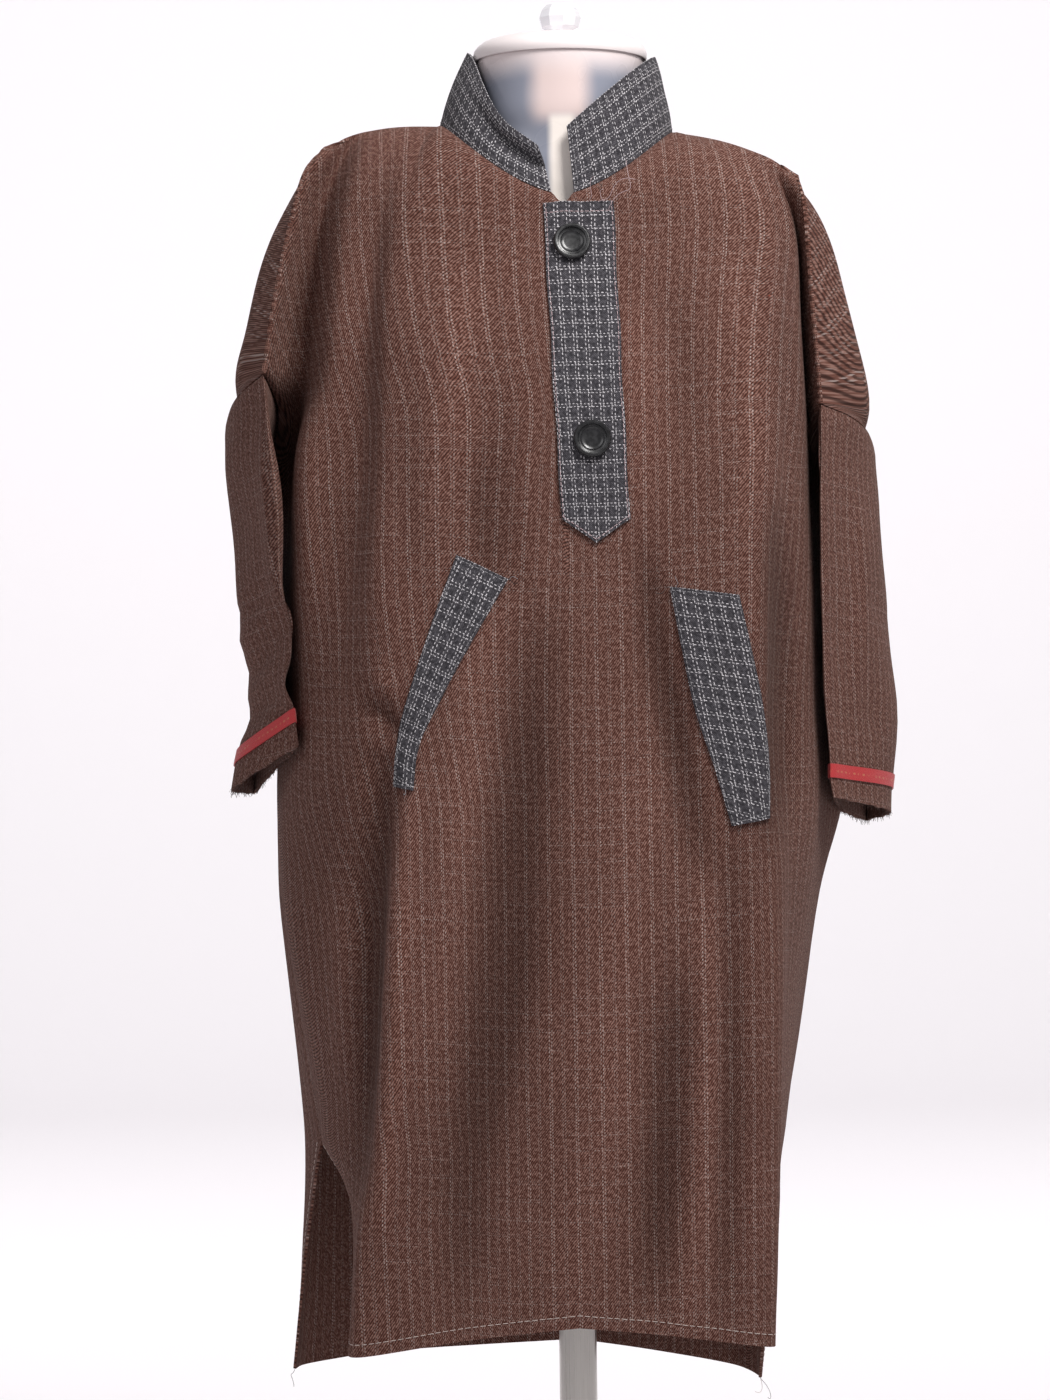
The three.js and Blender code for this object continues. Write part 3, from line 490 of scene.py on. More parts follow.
frontColumns = "z midY chestY edgeX edgeY troughX troughY bulgeX bulgeY valleyX valleyY sag"
frontLeft = table(frontColumns, [
    (1040, -74, -72, 138, -58, 147, -48, 153, -38, 156, -22, 0),
    (990, -88, -85, 134, -78, 143, -66, 152, -49, 156.5, -20, 0),
    (925, -100, -97, 130, -90, 142, -75, 155, -52, 159, -14, 0),
    (880, -106, -103, 127, -98, 141, -78, 156, -51, 164, 20, 0),
    (795, -112, -109, 126, -105, 142, -80, 158, -52, 165, -14, 0),
    (730, -116, -113, 126, -108, 142, -83, 158, -54, 166, -16, 0),
    (668, -119, -117, 127, -111, 142, -86, 159, -55, 168, -16, 0),
    (604, -121, -120, 128, -112, 140, -87, 152, -58, 160, -24, 0),
    (540, -122, -121, 128, -113, 136, -86, 143, -58, 149, -26, 0),
    (476, -123, -122, 127, -113, 132, -88, 137, -62, 140, -34, 0),
    (443, -123, -122, 126, -112, 130, -89, 133, -64, 135, -38, 0),
    (400, -124, -122, 125, -112, 127, -92, 127, -72, 122, -54, -4),
    (335, -124, -122, 123, -110, 122, -94, 116, -82, 104, -75, -16),
])
frontRight = table(frontColumns, [
    (1040, -74, -72, 107, -66, 122, -52, 145, -44, 165, -14, 0),
    (990, -88, -86, 112, -80, 127, -62, 150, -56, 172, -10, 0),
    (950, -96, -94, 113, -87, 129, -67, 155, -58, 176, -12, 0),
    (895, -104, -102, 115, -96, 133, -73, 171, -54, 182, 30, 0),
    (795, -112, -110, 121, -104, 142, -79, 174, -52, 185, -14, 0),
    (730, -116, -114, 118, -108, 150, -80, 174, -48, 185, -12, 0),
    (668, -119, -117, 110, -112, 150, -84, 179, -40, 190, -10, 0),
    (604, -121, -119, 115, -113, 135, -90, 165, -58, 186, -25, 0),
    (540, -122, -120, 121, -113, 136, -92, 158, -62, 176, -32, 0),
    (476, -123, -121, 127, -113, 139, -94, 153, -68, 165, -42, 0),
    (443, -123, -121, 130, -112, 140, -95, 151, -72, 161, -46, 0),
    (400, -124, -121, 137, -112, 142, -97, 145, -78, 143, -60, -4),
    (335, -124, -121, 144, -111, 147, -98, 144, -84, 134, -74, -19),
])
backColumns = "z midY bladeY foldX foldY valleyX valleyY outerX outerY sag"
backLeft = table(backColumns, [
    (1040, 86, 84, 118, 74, 146, 52, 179, 4, 0), (990, 99, 97, 124, 88, 154, 60, 189, 6, 0),
    (925, 105, 103, 128, 96, 160, 68, 202, 12, 0), (880, 108, 106, 129, 102, 160, 92, 178, 88, 0),
    (795, 110, 109, 128, 104, 158, 84, 178, 72, 0), (730, 112, 110, 128, 105, 157, 82, 180, 64, 0),
    (668, 112, 111, 128, 106, 156, 82, 182, 54, 0), (604, 112, 111, 127, 106, 150, 80, 165, 46, 0),
    (540, 112, 111, 125, 106, 145, 78, 156, 42, 0), (476, 112, 111, 124, 106, 138, 78, 146, 36, 0),
    (443, 111, 110, 122, 106, 134, 78, 139, 34, 0), (400, 110, 109, 121, 106, 132, 80, 137, 48, -6),
    (290, 108, 107, 112, 106, 122, 98, 128, 88, -24),
])
backRight = table(backColumns, [
    (1040, 86, 84, 118, 74, 148, 52, 196, 8, 0), (990, 99, 97, 124, 88, 158, 60, 208, 10, 0),
    (950, 105, 103, 128, 94, 165, 64, 218, 10, 0), (895, 108, 106, 130, 100, 170, 90, 195, 92, 0),
    (795, 110, 109, 128, 104, 165, 86, 190, 82, 0), (730, 112, 110, 126, 105, 160, 84, 191, 72, 0),
    (668, 112, 111, 126, 106, 160, 84, 194, 60, 0), (604, 112, 111, 128, 106, 160, 84, 194, 48, 0),
    (540, 112, 111, 130, 106, 160, 84, 188, 44, 0), (476, 112, 111, 132, 106, 160, 84, 184, 38, 0),
    (443, 111, 110, 133, 106, 160, 82, 182, 32, 0), (400, 110, 109, 135, 105, 162, 80, 182, 40, -2),
    (290, 108, 107, 140, 104, 168, 86, 188, 68, -8),
])
# where each named place of a half section lies, and its share of the row's sag
frontPlaces = [(None, "midY", 0), ("edgeX/2", "chestY", 0.4), ("edgeX", "edgeY", 1),
               ("troughX", "troughY", 0.95), ("bulgeX", "bulgeY", 0.8), ("valleyX", "valleyY", 0.55)]
backPlaces = [(None, "midY", 0), ("foldX/2", "bladeY", 0.35), ("foldX", "foldY", 0.8),
              ("valleyX", "valleyY", 0.9), ("outerX", "outerY", 1)]
rimSag = {"front": 0.4, "back": 1}

leftSide = {
    "sign": 1, "neckX": 73.5, "neckZ": 1110.5, "front": frontLeft, "back": backLeft,
    "ridge": [(159, -20, 1079), (160, -40, 1040), (162, -50, 990), (166, -58, 925)],
    "armholeFront": [(166, -58, 925), (166, -34, 917), (168, -8, 908), (172, 18, 899), (177, 44, 890),
                     (184, 70, 880)],
    "armholeBack": [(166, -58, 925), (189, -28, 918), (203, 5, 909), (208, 38, 899), (200, 64, 891),
                    (184, 70, 880)],
    "sideSeam": [(184, 70, 880), (183, 52, 795), (184, 44, 730), (185, 34, 668), (166, 14, 604),
                 (155, 8, 540), (143, 0, 476), (136, -6, 443)],
    "frontSlit": [(136, -6, 443), (112, -42, 400), (90, -70, 335)],
    "backSlit": [(136, -6, 443), (136, 14, 400), (127, 80, 290)],
}
rightSide = {
    "sign": -1, "neckX": 80, "neckZ": 1117, "front": frontRight, "back": backRight,
    "ridge": [(160, -20, 1102), (181, -44, 1040), (191, -52, 990), (197, -57, 950)],
    "armholeFront": [(197, -57, 950), (194, -32, 942), (192, -6, 933), (193, 20, 923), (197, 46, 911),
                     (206, 74, 895)],
    "armholeBack": [(197, -57, 950), (213, -26, 941), (224, 6, 931), (228, 36, 920), (222, 62, 909),
                    (206, 74, 895)],
    "sideSeam": [(206, 74, 895), (196, 55, 795), (196, 45, 730), (197, 30, 668), (194, 12, 604),
                 (184, 0, 540), (173, -12, 476), (168, -20, 443)],
    "frontSlit": [(168, -20, 443), (138, -44, 400), (118, -66, 335)],
    "backSlit": [(168, -20, 443), (177, 2, 400), (193, 50, 290)],
}
sleeveColumns = "frontX frontY frontZ outerX outerY outerZ backX backY backZ innerX innerY innerZ"
sleeveRings = {
    "left": table(sleeveColumns, [
        (165, -60, 868, 209, 14, 858, 202, 86, 848, 178, 14, 858),
        (165, -60, 800, 215, 16, 795, 206, 90, 790, 180, 16, 795),
        (166, -60, 735, 219, 16, 730, 208, 88, 725, 181, 16, 730),
        (169, -59, 690, 216, 14, 681, 206, 82, 672, 183, 14, 681),
        (169, -59, 681, 215, 14, 672, 205, 81, 663, 183, 14, 672),
        (171, -58, 668, 214, 14, 656, 204, 80, 648, 184, 14, 656),
    ]),
    "right": table(sleeveColumns, [
        (194, -60, 905, 227, 12, 888, 219, 82, 868, 207, 12, 888),
        (190, -60, 855, 223, 12, 847, 216, 84, 840, 203, 14, 847),
        (188, -58, 811, 221, 14, 808, 215, 84, 805, 202, 16, 808),
        (181, -56, 788, 218, 14, 784, 213, 82, 780, 200, 16, 784),
        (182, -56, 765, 214, 14, 756, 210, 80, 748, 199, 16, 756),
        (186, -56, 748, 213, 16, 732, 209, 78, 722, 200, 16, 734),
        (180, -57, 731, 220, 10, 703, 213, 74, 697, 200, 14, 713),
        (179, -57, 722, 222, 8, 694, 214, 73, 688, 200, 14, 704),
        (177, -58, 706, 225, 6, 678, 216, 72, 672, 199, 12, 688),
    ]),
}
sleeveSteps = {"left": [3, 2, 2, 1, 1, 1], "right": [2, 2, 1, 1, 1, 1, 1, 1, 1]}
collarColumns = "angle x y z"
collarTop = {
    "left": table(collarColumns, [
        (5.5, 3, -60, 1107), (30, 24, -57, 1126), (55, 46, -40, 1146), (78, 59, -16, 1158),
        (90, 62, 2, 1161), (135, 49, 48, 1164), (180, 0, 66, 1166),
    ]),
    "right": table(collarColumns, [
        (5.5, -15, -58, 1094), (30, -34, -51, 1112), (55, -50, -35, 1140), (78, -58, -14, 1160),
        (90, -61, 2, 1166), (135, -49, 48, 1167), (180, 0, 66, 1166),
    ]),
}


def sidePoints(side, name):
    return np.array([(side["sign"] * x, y, z) for x, y, z in side[name]], float)


def sideEdge(side, armhole, slit):
    ridge = alongSpline(sidePoints(side, "ridge"), [1] + [n * fine for n in sectionSteps[:2]])[1:]
    underarm = alongSpline(sidePoints(side, armhole), [fine] * 5)[1:]
    seam = alongSpline(sidePoints(side, "sideSeam"), [n * fine for n in sectionSteps[3:slitSection]])[1:]
    opening = alongSpline(sidePoints(side, slit), [n * fine for n in sectionSteps[slitSection:]])[1:]
    return np.vstack([ridge, underarm, seam, opening])


def necklinePoint(side, angle, isBack):
    turn = math.radians(angle)
    endY, endZ = neckline["back" if isBack else "front"]
    return np.array([side["sign"] * side["neckX"] * math.sin(turn),
                     mix(neckline["sideY"], endY, math.cos(turn)),
                     mix(endZ, side["neckZ"], math.sin(turn) ** neckline["rise"])])


def shoulderPoint(side, part):
    x, y, z = side["ridge"][0]
    return np.array([side["sign"] * mix(side["neckX"], x, part), mix(neckline["sideY"], y, part),
                     mix(side["neckZ"], z, part) + shoulderCrown * math.sin(math.pi * part)])


def topEdge(side, neckColumns, isBack):
    first = 0 if isBack else fine
    start = 0 if isBack else neckline["openAngle"]
    found = []
    for k in range(neckColumns + 1):
        angle = mix(start, 90, (k - first) / (neckColumns - first)) if k >= first else start * k / fine
        found.append(necklinePoint(side, angle, isBack))
    count = shoulderSteps * fine
    return np.array(found + [shoulderPoint(side, k / count) for k in range(1, count + 1)])


def halfPanel(side, isBack):
    sections = side["back" if isBack else "front"]
    edge = sideEdge(side, "armholeBack" if isBack else "armholeFront", "backSlit" if isBack else "frontSlit")
    columnSteps = [n * fine for n in (backSteps if isBack else frontSteps)]
    rowSteps = [n * fine for n in sectionSteps]
    columns = []
    for x, y, share in backPlaces if isBack else frontPlaces:
        def across(row):
            if x is None:
                return 0
            return row[x[:-2]] / 2 if x.endswith("/2") else row[x]
        columns.append(alongSpline([(side["sign"] * across(row), row[y], row["z"] + row["sag"] * share)
                                    for row in sections], rowSteps))
    last = sum(rowSteps[slitSection:])
    rows = []
    for j, rim in enumerate(edge):
        fromSlit = max(0, j - (len(edge) - 1 - last)) / last
        drop = sections[-1]["sag"] * rimSag["back" if isBack else "front"] * fromSlit**2
        ends = [column[j] for column in columns] + [rim + (0, 0, drop)]
        rows.append(alongSpline(ends, columnSteps))
    rows = np.array(rows)
    top = topEdge(side, columnSteps[0] + columnSteps[1], isBack)
    yoke = []
    for k in range(yokeRows):
        part = k / yokeRows
        turn = part * math.pi / 2
        shares = (part, math.sin(turn), 1 - math.cos(turn))
        yoke.append(np.stack([mix(top[:, k], rows[0, :, k], shares[k]) for k in range(3)], axis=1))
    return np.concatenate([np.array(yoke), rows])


# a panel runs from one side to the other, so that its columns go to the right as its face is looked at
def panel(isBack):
    first, second = (leftSide, rightSide) if isBack else (rightSide, leftSide)
    return np.concatenate([halfPanel(first, isBack)[:, :0:-1], halfPanel(second, isBack)], axis=1)


def sleeve(side, name):
    half = sleeveHalfRing * fine
    outer = alongSpline(sidePoints(side, "armholeBack"), [half // 5] * 5)
    inner = alongSpline(sidePoints(side, "armholeFront")[::-1], [half // 5] * 5)
    rings = [np.vstack([outer[:-1], inner[:-1]])]
    for ring in sleeveRings[name]:
        front, out, back, inside = (np.array([side["sign"] * ring[k + "X"], ring[k + "Y"], ring[k + "Z"]])
                                    for k in ("front", "outer", "back", "inner"))
        rings.append(np.vstack([alongSpline([front, out, back], [half // 2] * 2)[:-1],
                                alongSpline([back, inside, front], [half // 2] * 2)[:-1]]))
    rings = np.array(rings)
    steps = [n * fine for n in sleeveSteps[name]]
    grid = np.stack([alongSpline(rings[:, i], steps) for i in range(2 * half)], axis=1)
    if side["sign"] < 0:
        grid = np.concatenate([grid[:, :1], grid[:, :0:-1]], axis=1)
    return np.concatenate([grid, grid[:, :1]], axis=1)  # the last column meets the first


collarShape = {"rows": 22, "bulge": 2.0, "perSpan": 24}
# on the right half the collar sinks along a groove and its upper part leans out again
collarRoll = {"groove": 0.52, "wide": 0.2, "depth": 5.5, "flare": 6.5, "full": 18, "end": 74, "left": 0.12}


def collar():
    frontCount, backCount = sum(frontSteps[:2]) * fine, sum(backSteps[:2]) * fine
    perSpan, rows = collarShape["perSpan"], collarShape["rows"]
    count = frontCount - fine
    angles = [mix(neckline["openAngle"], 90, k / count) for k in range(count + 1)]
    angles += [180 - 90 * k / backCount for k in range(backCount - 1, -1, -1)]
    columns = []
    for side, top in ((leftSide, collarTop["left"]), (rightSide, collarTop["right"])):
        spans = len(top) - 1
        curve = alongSpline([(row["x"], row["y"], row["z"]) for row in top], [perSpan] * spans)
        half = []
        for angle in angles:
            foot = necklinePoint(side, min(angle, 180 - angle), angle > 90)
            span = max(i for i in range(spans) if top[i]["angle"] <= angle)
            within = (angle - top[span]["angle"]) / (top[span + 1]["angle"] - top[span]["angle"])
            head = curve[min(round((span + within) * perSpan), perSpan * spans)]
            outward = np.array([foot[0], foot[1], 0]) / math.hypot(foot[0], foot[1])
            roll = collarRoll["left"]
            if side is rightSide:
                roll = float(1 - smooth(angle, collarRoll["full"], collarRoll["end"]))
            column = []
            for k in range(rows + 1):
                up = 1 - k / rows
                below = (up - collarRoll["groove"]) / collarRoll["wide"]
                sink = collarRoll["depth"] * math.exp(-(below**2))
                lean = collarRoll["flare"] * float(smooth(up, collarRoll["groove"], 1))
                out = collarShape["bulge"] * math.sin(math.pi * up) + roll * (lean - sink)
                column.append(foot + (head - foot) * up + outward * out)
            half.append(column)
        columns.append(half)
    return np.array(columns[0] + columns[1][::-1][1:]).transpose(1, 0, 2)


def outwards(grid, closed=False):
    if closed:
        padded = np.concatenate([grid[:, -2:-1], grid, grid[:, 1:2]], axis=1)
        across = padded[:, 2:] - padded[:, :-2]
    else:
        across = np.gradient(grid, axis=1)
    normals = np.cross(np.gradient(grid, axis=0), across)
    length = np.linalg.norm(normals, axis=2, keepdims=True)
    return normals / np.maximum(length, 1e-9)


# distances along the cloth: across from the given column and down from the given row
def acrossCloth(grid, middle):
    step = np.linalg.norm(np.diff(grid, axis=1), axis=2)
    run = np.concatenate([np.zeros((len(grid), 1)), np.cumsum(step, axis=1)], axis=1)
    return run - run[:, middle:middle + 1]


def downCloth(grid, start):
    step = np.linalg.norm(np.diff(grid, axis=0), axis=2)
    run = np.concatenate([np.zeros((1, grid.shape[1])), np.cumsum(step, axis=0)])
    return run - run[start:start + 1]


# the same values, evened out a number of times down the rows and across the columns
def evened(values, down, across):
    for times, axis in ((down, 0), (across, 1)):
        lanes = np.moveaxis(values, axis, 0)
        for _ in range(times):
            ends = (2 * lanes[:1] - lanes[1:2], 2 * lanes[-1:] - lanes[-2:-1])
            padded = np.concatenate([ends[0], lanes, ends[1]])
            lanes = (padded[:-2] + 2 * padded[1:-1] + padded[2:]) / 4
        values = np.moveaxis(lanes, 0, axis)
    return values


# sets the sides of a sheet back a little from its seam lines
def setBack(grid, gap):
    grid = grid.copy()
    for rim, inner in ((0, 1), (-1, -2)):
        way = grid[:, inner] - grid[:, rim]
        length = np.linalg.norm(way, axis=1, keepdims=True)
        grid[:, rim] += way / length * np.minimum(gap, 0.7 * length)
    return grid


# a crease: a line of (x, z) places, how far the cloth goes in (-) or out (+), and half its width
def creased(grid, creases):
    x, z = grid[:, :, 0], grid[:, :, 2]
    total = np.zeros(x.shape)
    for points, depth, width in creases:
        best = np.full(x.shape, 1e9)
        place = np.zeros(x.shape)
        p = np.array(points, float)
        lengths = np.linalg.norm(np.diff(p, axis=0), axis=1)
        for k, length in enumerate(lengths):
            way = (p[k + 1] - p[k]) / length
            t = np.clip((x - p[k, 0]) * way[0] + (z - p[k, 1]) * way[1], 0, length)
            away = np.hypot(x - p[k, 0] - way[0] * t, z - p[k, 1] - way[1] * t)
            nearer = away < best
            best = np.where(nearer, away, best)
            place = np.where(nearer, lengths[:k].sum() + t, place)
        part = place / lengths.sum()
        total += depth * np.exp(-((best / width) ** 2)) * (0.15 + 0.85 * np.sin(np.pi * part) ** 0.7)
    return total


def ripples(grid, size, height, shift):
    flat = grid.reshape(-1, 3)
    values = [noise.noise(Vector((x / size[0] + shift, y / size[0], z / size[1]))) for x, y, z in flat]
    return height * np.array(values).reshape(grid.shape[:2])


def makeWall(name, grid, uv, normals, wall, lift=0.0, weld=False, thin=None, paintedCreaseShade=None):
    rows, count = grid.shape[:2]
    half = wall / 2 if thin is None else (wall / 2 * thin)[:, :, None]
    outer = grid + normals * (lift + half)
    inner = grid + normals * (lift - wall / 2)
    places = np.concatenate([outer.reshape(-1, 3), inner.reshape(-1, 3)]) * mm
    under = rows * count
    faces = []
    for j in range(rows - 1):
        for k in range(j * count, j * count + count - 1):
            ring = (k, k + count, k + count + 1, k + 1)
            faces.append(ring)
            faces.append(tuple(under + corner for corner in reversed(ring)))
    last = (rows - 1) * count
    for i in range(count - 1):
        for a, b in ((i, i + 1), (last + i + 1, last + i)):
            faces.append((a, b, under + b, under + a))
    if not weld:
        for j in range(rows - 1):
            first, end = j * count, (j + 1) * count - 1
            for a, b in ((first + count, first), (end, end + count)):
                faces.append((a, b, under + b, under + a))
    mesh = bpy.data.meshes.new(name)
    mesh.from_pydata(places.tolist(), [], faces)
    flatUv = np.concatenate([uv.reshape(-1, 2), uv.reshape(-1, 2)]) * mm
    layer = mesh.uv_layers.new(name="cloth")
    corners = np.empty(len(mesh.loops), dtype=np.int32)
    mesh.loops.foreach_get("vertex_index", corners)
    layer.data.foreach_set("uv", flatUv[corners].ravel())
    # the crease offsets go on as an attribute for the tweed's painted shade in the troughs and painted light
    # on the ridges
    if paintedCreaseShade is not None:
        wearAndPaintedShade = mesh.attributes.new("paintedCreaseShade", "FLOAT", "POINT")
        wearAndPaintedShade.data.foreach_set("value", np.concatenate([paintedCreaseShade.ravel(), paintedCreaseShade.ravel()]).astype(np.float32))
    if weld:
        shape = bmesh.new()
        shape.from_mesh(mesh)
        bmesh.ops.remove_doubles(shape, verts=shape.verts, dist=1e-6)
        shape.to_mesh(mesh)
        shape.free()
    piece = bpy.data.objects.new(name, mesh)
    bpy.context.scene.collection.objects.link(piece)
    return piece


def finishPiece(piece, finish, slot, *replaced, sharp=50):
    piece.data.materials.clear()
    piece.data.materials.append(finishes[finish])
    bpy.ops.object.select_all(action="DESELECT")
    piece.select_set(True)
    bpy.context.view_layer.objects.active = piece
    bpy.ops.object.shade_smooth_by_angle(angle=math.radians(sharp))
    piece.select_set(False)
    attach(piece, "root")
    if replaced:
        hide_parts(*replaced)
    return piece


# the area in square metres of the middle of a sheet
def clothArea(grid):
    a, b = np.diff(grid, axis=0)[:, :-1], np.diff(grid, axis=1)[:-1]
    return float(np.linalg.norm(np.cross(a, b), axis=2).sum()) * 1e-6


tweedWall, checkWall = 1.8, 1.6
seam = {"depth": 1.0, "width": 3.0, "calm": 16, "gap": 1.1}
panelCalmed = {"fromTop": (45, 130), "openSide": 4.0}
# rows below the yoke where the cloth stops being evened over the shoulder
shoulderEvened = {"rows": (7, 14), "times": 16}
shoulderEnd = {"radius": 16, "round": 3.5, "slope": 0.7}
# how far the middle columns of the front drop at the neck, from the centre out
neckDrop = (5.2, 4.8, 3.6, 1.4)

# creases in (x, z), then how deep (- is in) and half how wide
frontCreases = [
    ([(48, 830), (54, 775), (63, 725), (72, 675), (80, 620)], -7.5, 11),
    ([(83, 620), (84, 520), (77, 420), (65, 325)], 5.0, 10),
    ([(99, 640), (98, 520), (96, 430), (92, 335)], -4.5, 9),
    ([(-101, 705), (-109, 620), (-117, 510), (-127, 400)], 6.0, 8),
    ([(-118, 716), (-127, 620), (-134, 510), (-141, 420)], -8.0, 11),
    ([(-135, 736), (-120, 727), (-104, 712)], -4.5, 6),
    ([(-128, 752), (-112, 742)], 2.6, 5),
    ([(-138, 716), (-122, 706), (-108, 700)], 2.0, 5),
    ([(-57, 900), (-57, 850), (-50, 800)], -3.6, 11),
    ([(-21, 790), (-30, 697), (-37, 622), (-44, 559), (-60, 480), (-72, 430), (-76, 350)], -8.0, 19),
    ([(-60, 790), (-67, 697), (-83, 622), (-91, 559), (-107, 480)], 4.5, 16),
    ([(44, 700), (32, 600), (18, 540), (18, 470), (8, 410), (-4, 340)], 4.5, 19),
    ([(66, 560), (60, 490), (54, 430), (46, 340)], -6.5, 14),
    ([(134, 860), (138, 760), (134, 690), (124, 630)], -8.0, 12),
    ([(-38, 812), (-22, 806)], -1.8, 4),
    ([(60, 806), (44, 800)], -1.8, 4),
    ([(-62, 1020), (-74, 950), (-80, 880)], 2.8, 15),
    ([(-44, 940), (-42, 870), (-38, 810)], -2.6, 12),
    ([(-100, 960), (-104, 880), (-100, 800)], -2.2, 12),
    ([(36, 1000), (44, 930), (40, 850)], 2.2, 15),
    ([(64, 1010), (76, 950), (78, 880)], -2.4, 13),
    ([(108, 1020), (118, 930), (112, 830)], 2.6, 10),
    ([(-150, 620), (-150, 520), (-142, 450)], 2.0, 8),
    ([(-167, 930), (-169, 860), (-166, 790)], 3.0, 8),
]
backCreases = [
    ([(-70, 1020), (-88, 900), (-80, 780)], -2.6, 15),
    ([(64, 1010), (84, 880), (82, 740)], -2.4, 14),
    ([(-20, 960), (-26, 800), (-18, 640)], 2.0, 18),
    ([(28, 900), (34, 740), (30, 560)], -2.0, 16),
    ([(-60, 640), (-70, 480), (-74, 320)], 2.8, 12),
    ([(-34, 600), (-36, 440), (-30, 310)], -2.6, 12),
    ([(56, 620), (66, 460), (70, 310)], 2.6, 12),
    ([(96, 600), (104, 480), (100, 340)], -2.6, 10),
    ([(8, 520), (10, 420), (6, 300)], 1.8, 14),
    ([(-120, 700), (-134, 600), (-140, 480)], -2.2, 10),
]
sleeveCreases = {
    "left": [([(214, 860), (219, 790), (212, 730)], -2.6, 8), ([(192, 730), (210, 712)], -2.4, 6),
             ([(192, 870), (195, 800), (190, 720)], 2.4, 6), ([(200, 800), (214, 780)], -1.8, 5)],
    "right": [([(-222, 890), (-216, 835), (-212, 800)], -2.4, 8),
              ([(-194, 815), (-208, 800), (-222, 792)], -3.2, 5),
              ([(-190, 776), (-204, 762), (-216, 752)], -3.2, 5),
              ([(-190, 744), (-206, 728), (-220, 715)], -2.8, 5),
              ([(-194, 796), (-208, 782), (-222, 772)], 2.6, 5),
              ([(-190, 760), (-204, 746), (-218, 734)], 2.2, 5),
              ([(-190, 935), (-191, 870), (-189, 800)], 5.0, 9)],
}
# how far the weave leans at each side, in millimetres, and between which columns the lean sets in
grainLean = {"left": (-20, 95, 165), "right": (26, 15, 125), "height": 760, "reach": 190}
# the stripes run straight up for some rows below the yoke, with at most so much cloth to their width
stripeRun = {"rows": 40, "tightest": 1.3, "evenStripes": (120, 14), "evenHeights": (4, 60)}
smallRipple = {"size": (28, 40), "height": 0.3, "shift": 5}


def shapeSheet(grid, creases, ripple, calm, closed):
    smaller = {**smallRipple, "shift": ripple["shift"] + smallRipple["shift"]}
    offset = creased(grid, creases) + ripples(grid, **ripple)
    offset += ripples(grid, **smaller)
    return grid + outwards(grid, closed) * (offset * calm)[:, :, None]


# how far each point is from the sewn edges of a panel, and the dip that the seams leave there
def panelCalm(grid):
    columns = grid.shape[1]
    middle = (columns - 1) // 2
    across, down = acrossCloth(grid, middle), downCloth(grid, 0)
    sides = np.minimum(across - across[:, :1], across[:, -1:] - across)
    sides[slitRow:] += np.arange(len(grid) - slitRow)[:, None] * panelCalmed["openSide"]
    near = np.minimum(sides, down)
    calm = smooth(near, 0, seam["calm"]) * smooth(down, *panelCalmed["fromTop"])
    dip = -seam["depth"] * np.exp(-((near / seam["width"]) ** 2))
    return calm, dip


def makePanel(name, isBack, creases, ripple):
    grid = panel(isBack)
    firstEven, lastEven = shoulderEvened["rows"]
    aboveArm = 1 - smooth(np.arange(len(grid)), yokeRows + firstEven, yokeRows + lastEven)[:, None, None]
    grid = mix(grid, evened(grid, shoulderEvened["times"], 0), aboveArm)
    for side in (leftSide, rightSide):
        corner = sidePoints(side, "ridge")[0]
        near = np.exp(-((np.linalg.norm(grid - corner, axis=2) / shoulderEnd["radius"]) ** 2))
        way = np.array([side["sign"], 0, 1]) * shoulderEnd["slope"]
        grid = grid - near[:, :, None] * way * shoulderEnd["round"]
    grid = setBack(grid, seam["gap"])
    calm, dip = panelCalm(grid)
    middle = grid.shape[1] // 2
    if not isBack:
        for away, drop in enumerate(neckDrop):
            for i in {middle - away, middle + away}:
                grid[:yokeRows, i, 2] -= drop * (1 - np.arange(yokeRows) / yokeRows)
    shaped = shapeSheet(grid, creases, ripple, calm, False) + outwards(grid) * dip[:, :, None]
    u = acrossCloth(grid, middle)
    level, facing = yokeRows + stripeRun["rows"], -1 if isBack else 1
    x = np.maximum.accumulate(facing * grid[level, :, 0] + np.arange(grid.shape[1]) * 1e-3)
    steps = np.minimum(np.diff(u[level]), np.diff(x) * stripeRun["tightest"])
    straight = np.concatenate([[0], np.cumsum(steps)])
    straight -= straight[middle]
    for j in range(level):
        place = facing * grid[j, :, 0]
        beyond = np.maximum(place - x[-1], 0) - np.maximum(x[0] - place, 0)
        over = np.interp(place, x, straight) + beyond * stripeRun["tightest"]
        u[j] = mix(over, u[j], smooth(j, yokeRows, level))
    u = evened(u, *stripeRun["evenStripes"])
    v = grid[yokeRows, middle, 2] - evened(downCloth(grid, yokeRows), *stripeRun["evenHeights"])
    swing = np.tanh((v - grainLean["height"]) / grainLean["reach"])
    for sign, (most, near, far) in ((1, grainLean["left"]), (-1, grainLean["right"])):
        u = u + smooth(sign * u, near, far) * swing * most
    # the crease offsets, calmed near the seams, paint shade into the troughs and light onto the ridges
    piece = makeWall(name, shaped, np.stack([u, v], axis=2), outwards(shaped), tweedWall,
                     paintedCreaseShade=creased(grid, creases) * calm)
    finishPiece(piece, "tweed", "tweed", "back" if isBack else "front")
    return piece, shaped


panelRipples = {"front": {"size": (85, 110), "height": 1.6, "shift": 0},
                "back": {"size": (80, 120), "height": 2.4, "shift": 30}}
front, frontGrid = makePanel("frontPanel", False, frontCreases, panelRipples["front"])
back, backGrid = makePanel("backPanel", True, backCreases, panelRipples["back"])
print("panels made")


sleeveCloth = {"tuck": 0.3, "calm": (2, 18), "topHeight": 880, "ripple": {"size": (36, 46), "height": 1.3},
               "shift": {"left": 60, "right": 90}, "ragged": {"size": (7, 9), "height": 1.6, "shift": 130}}


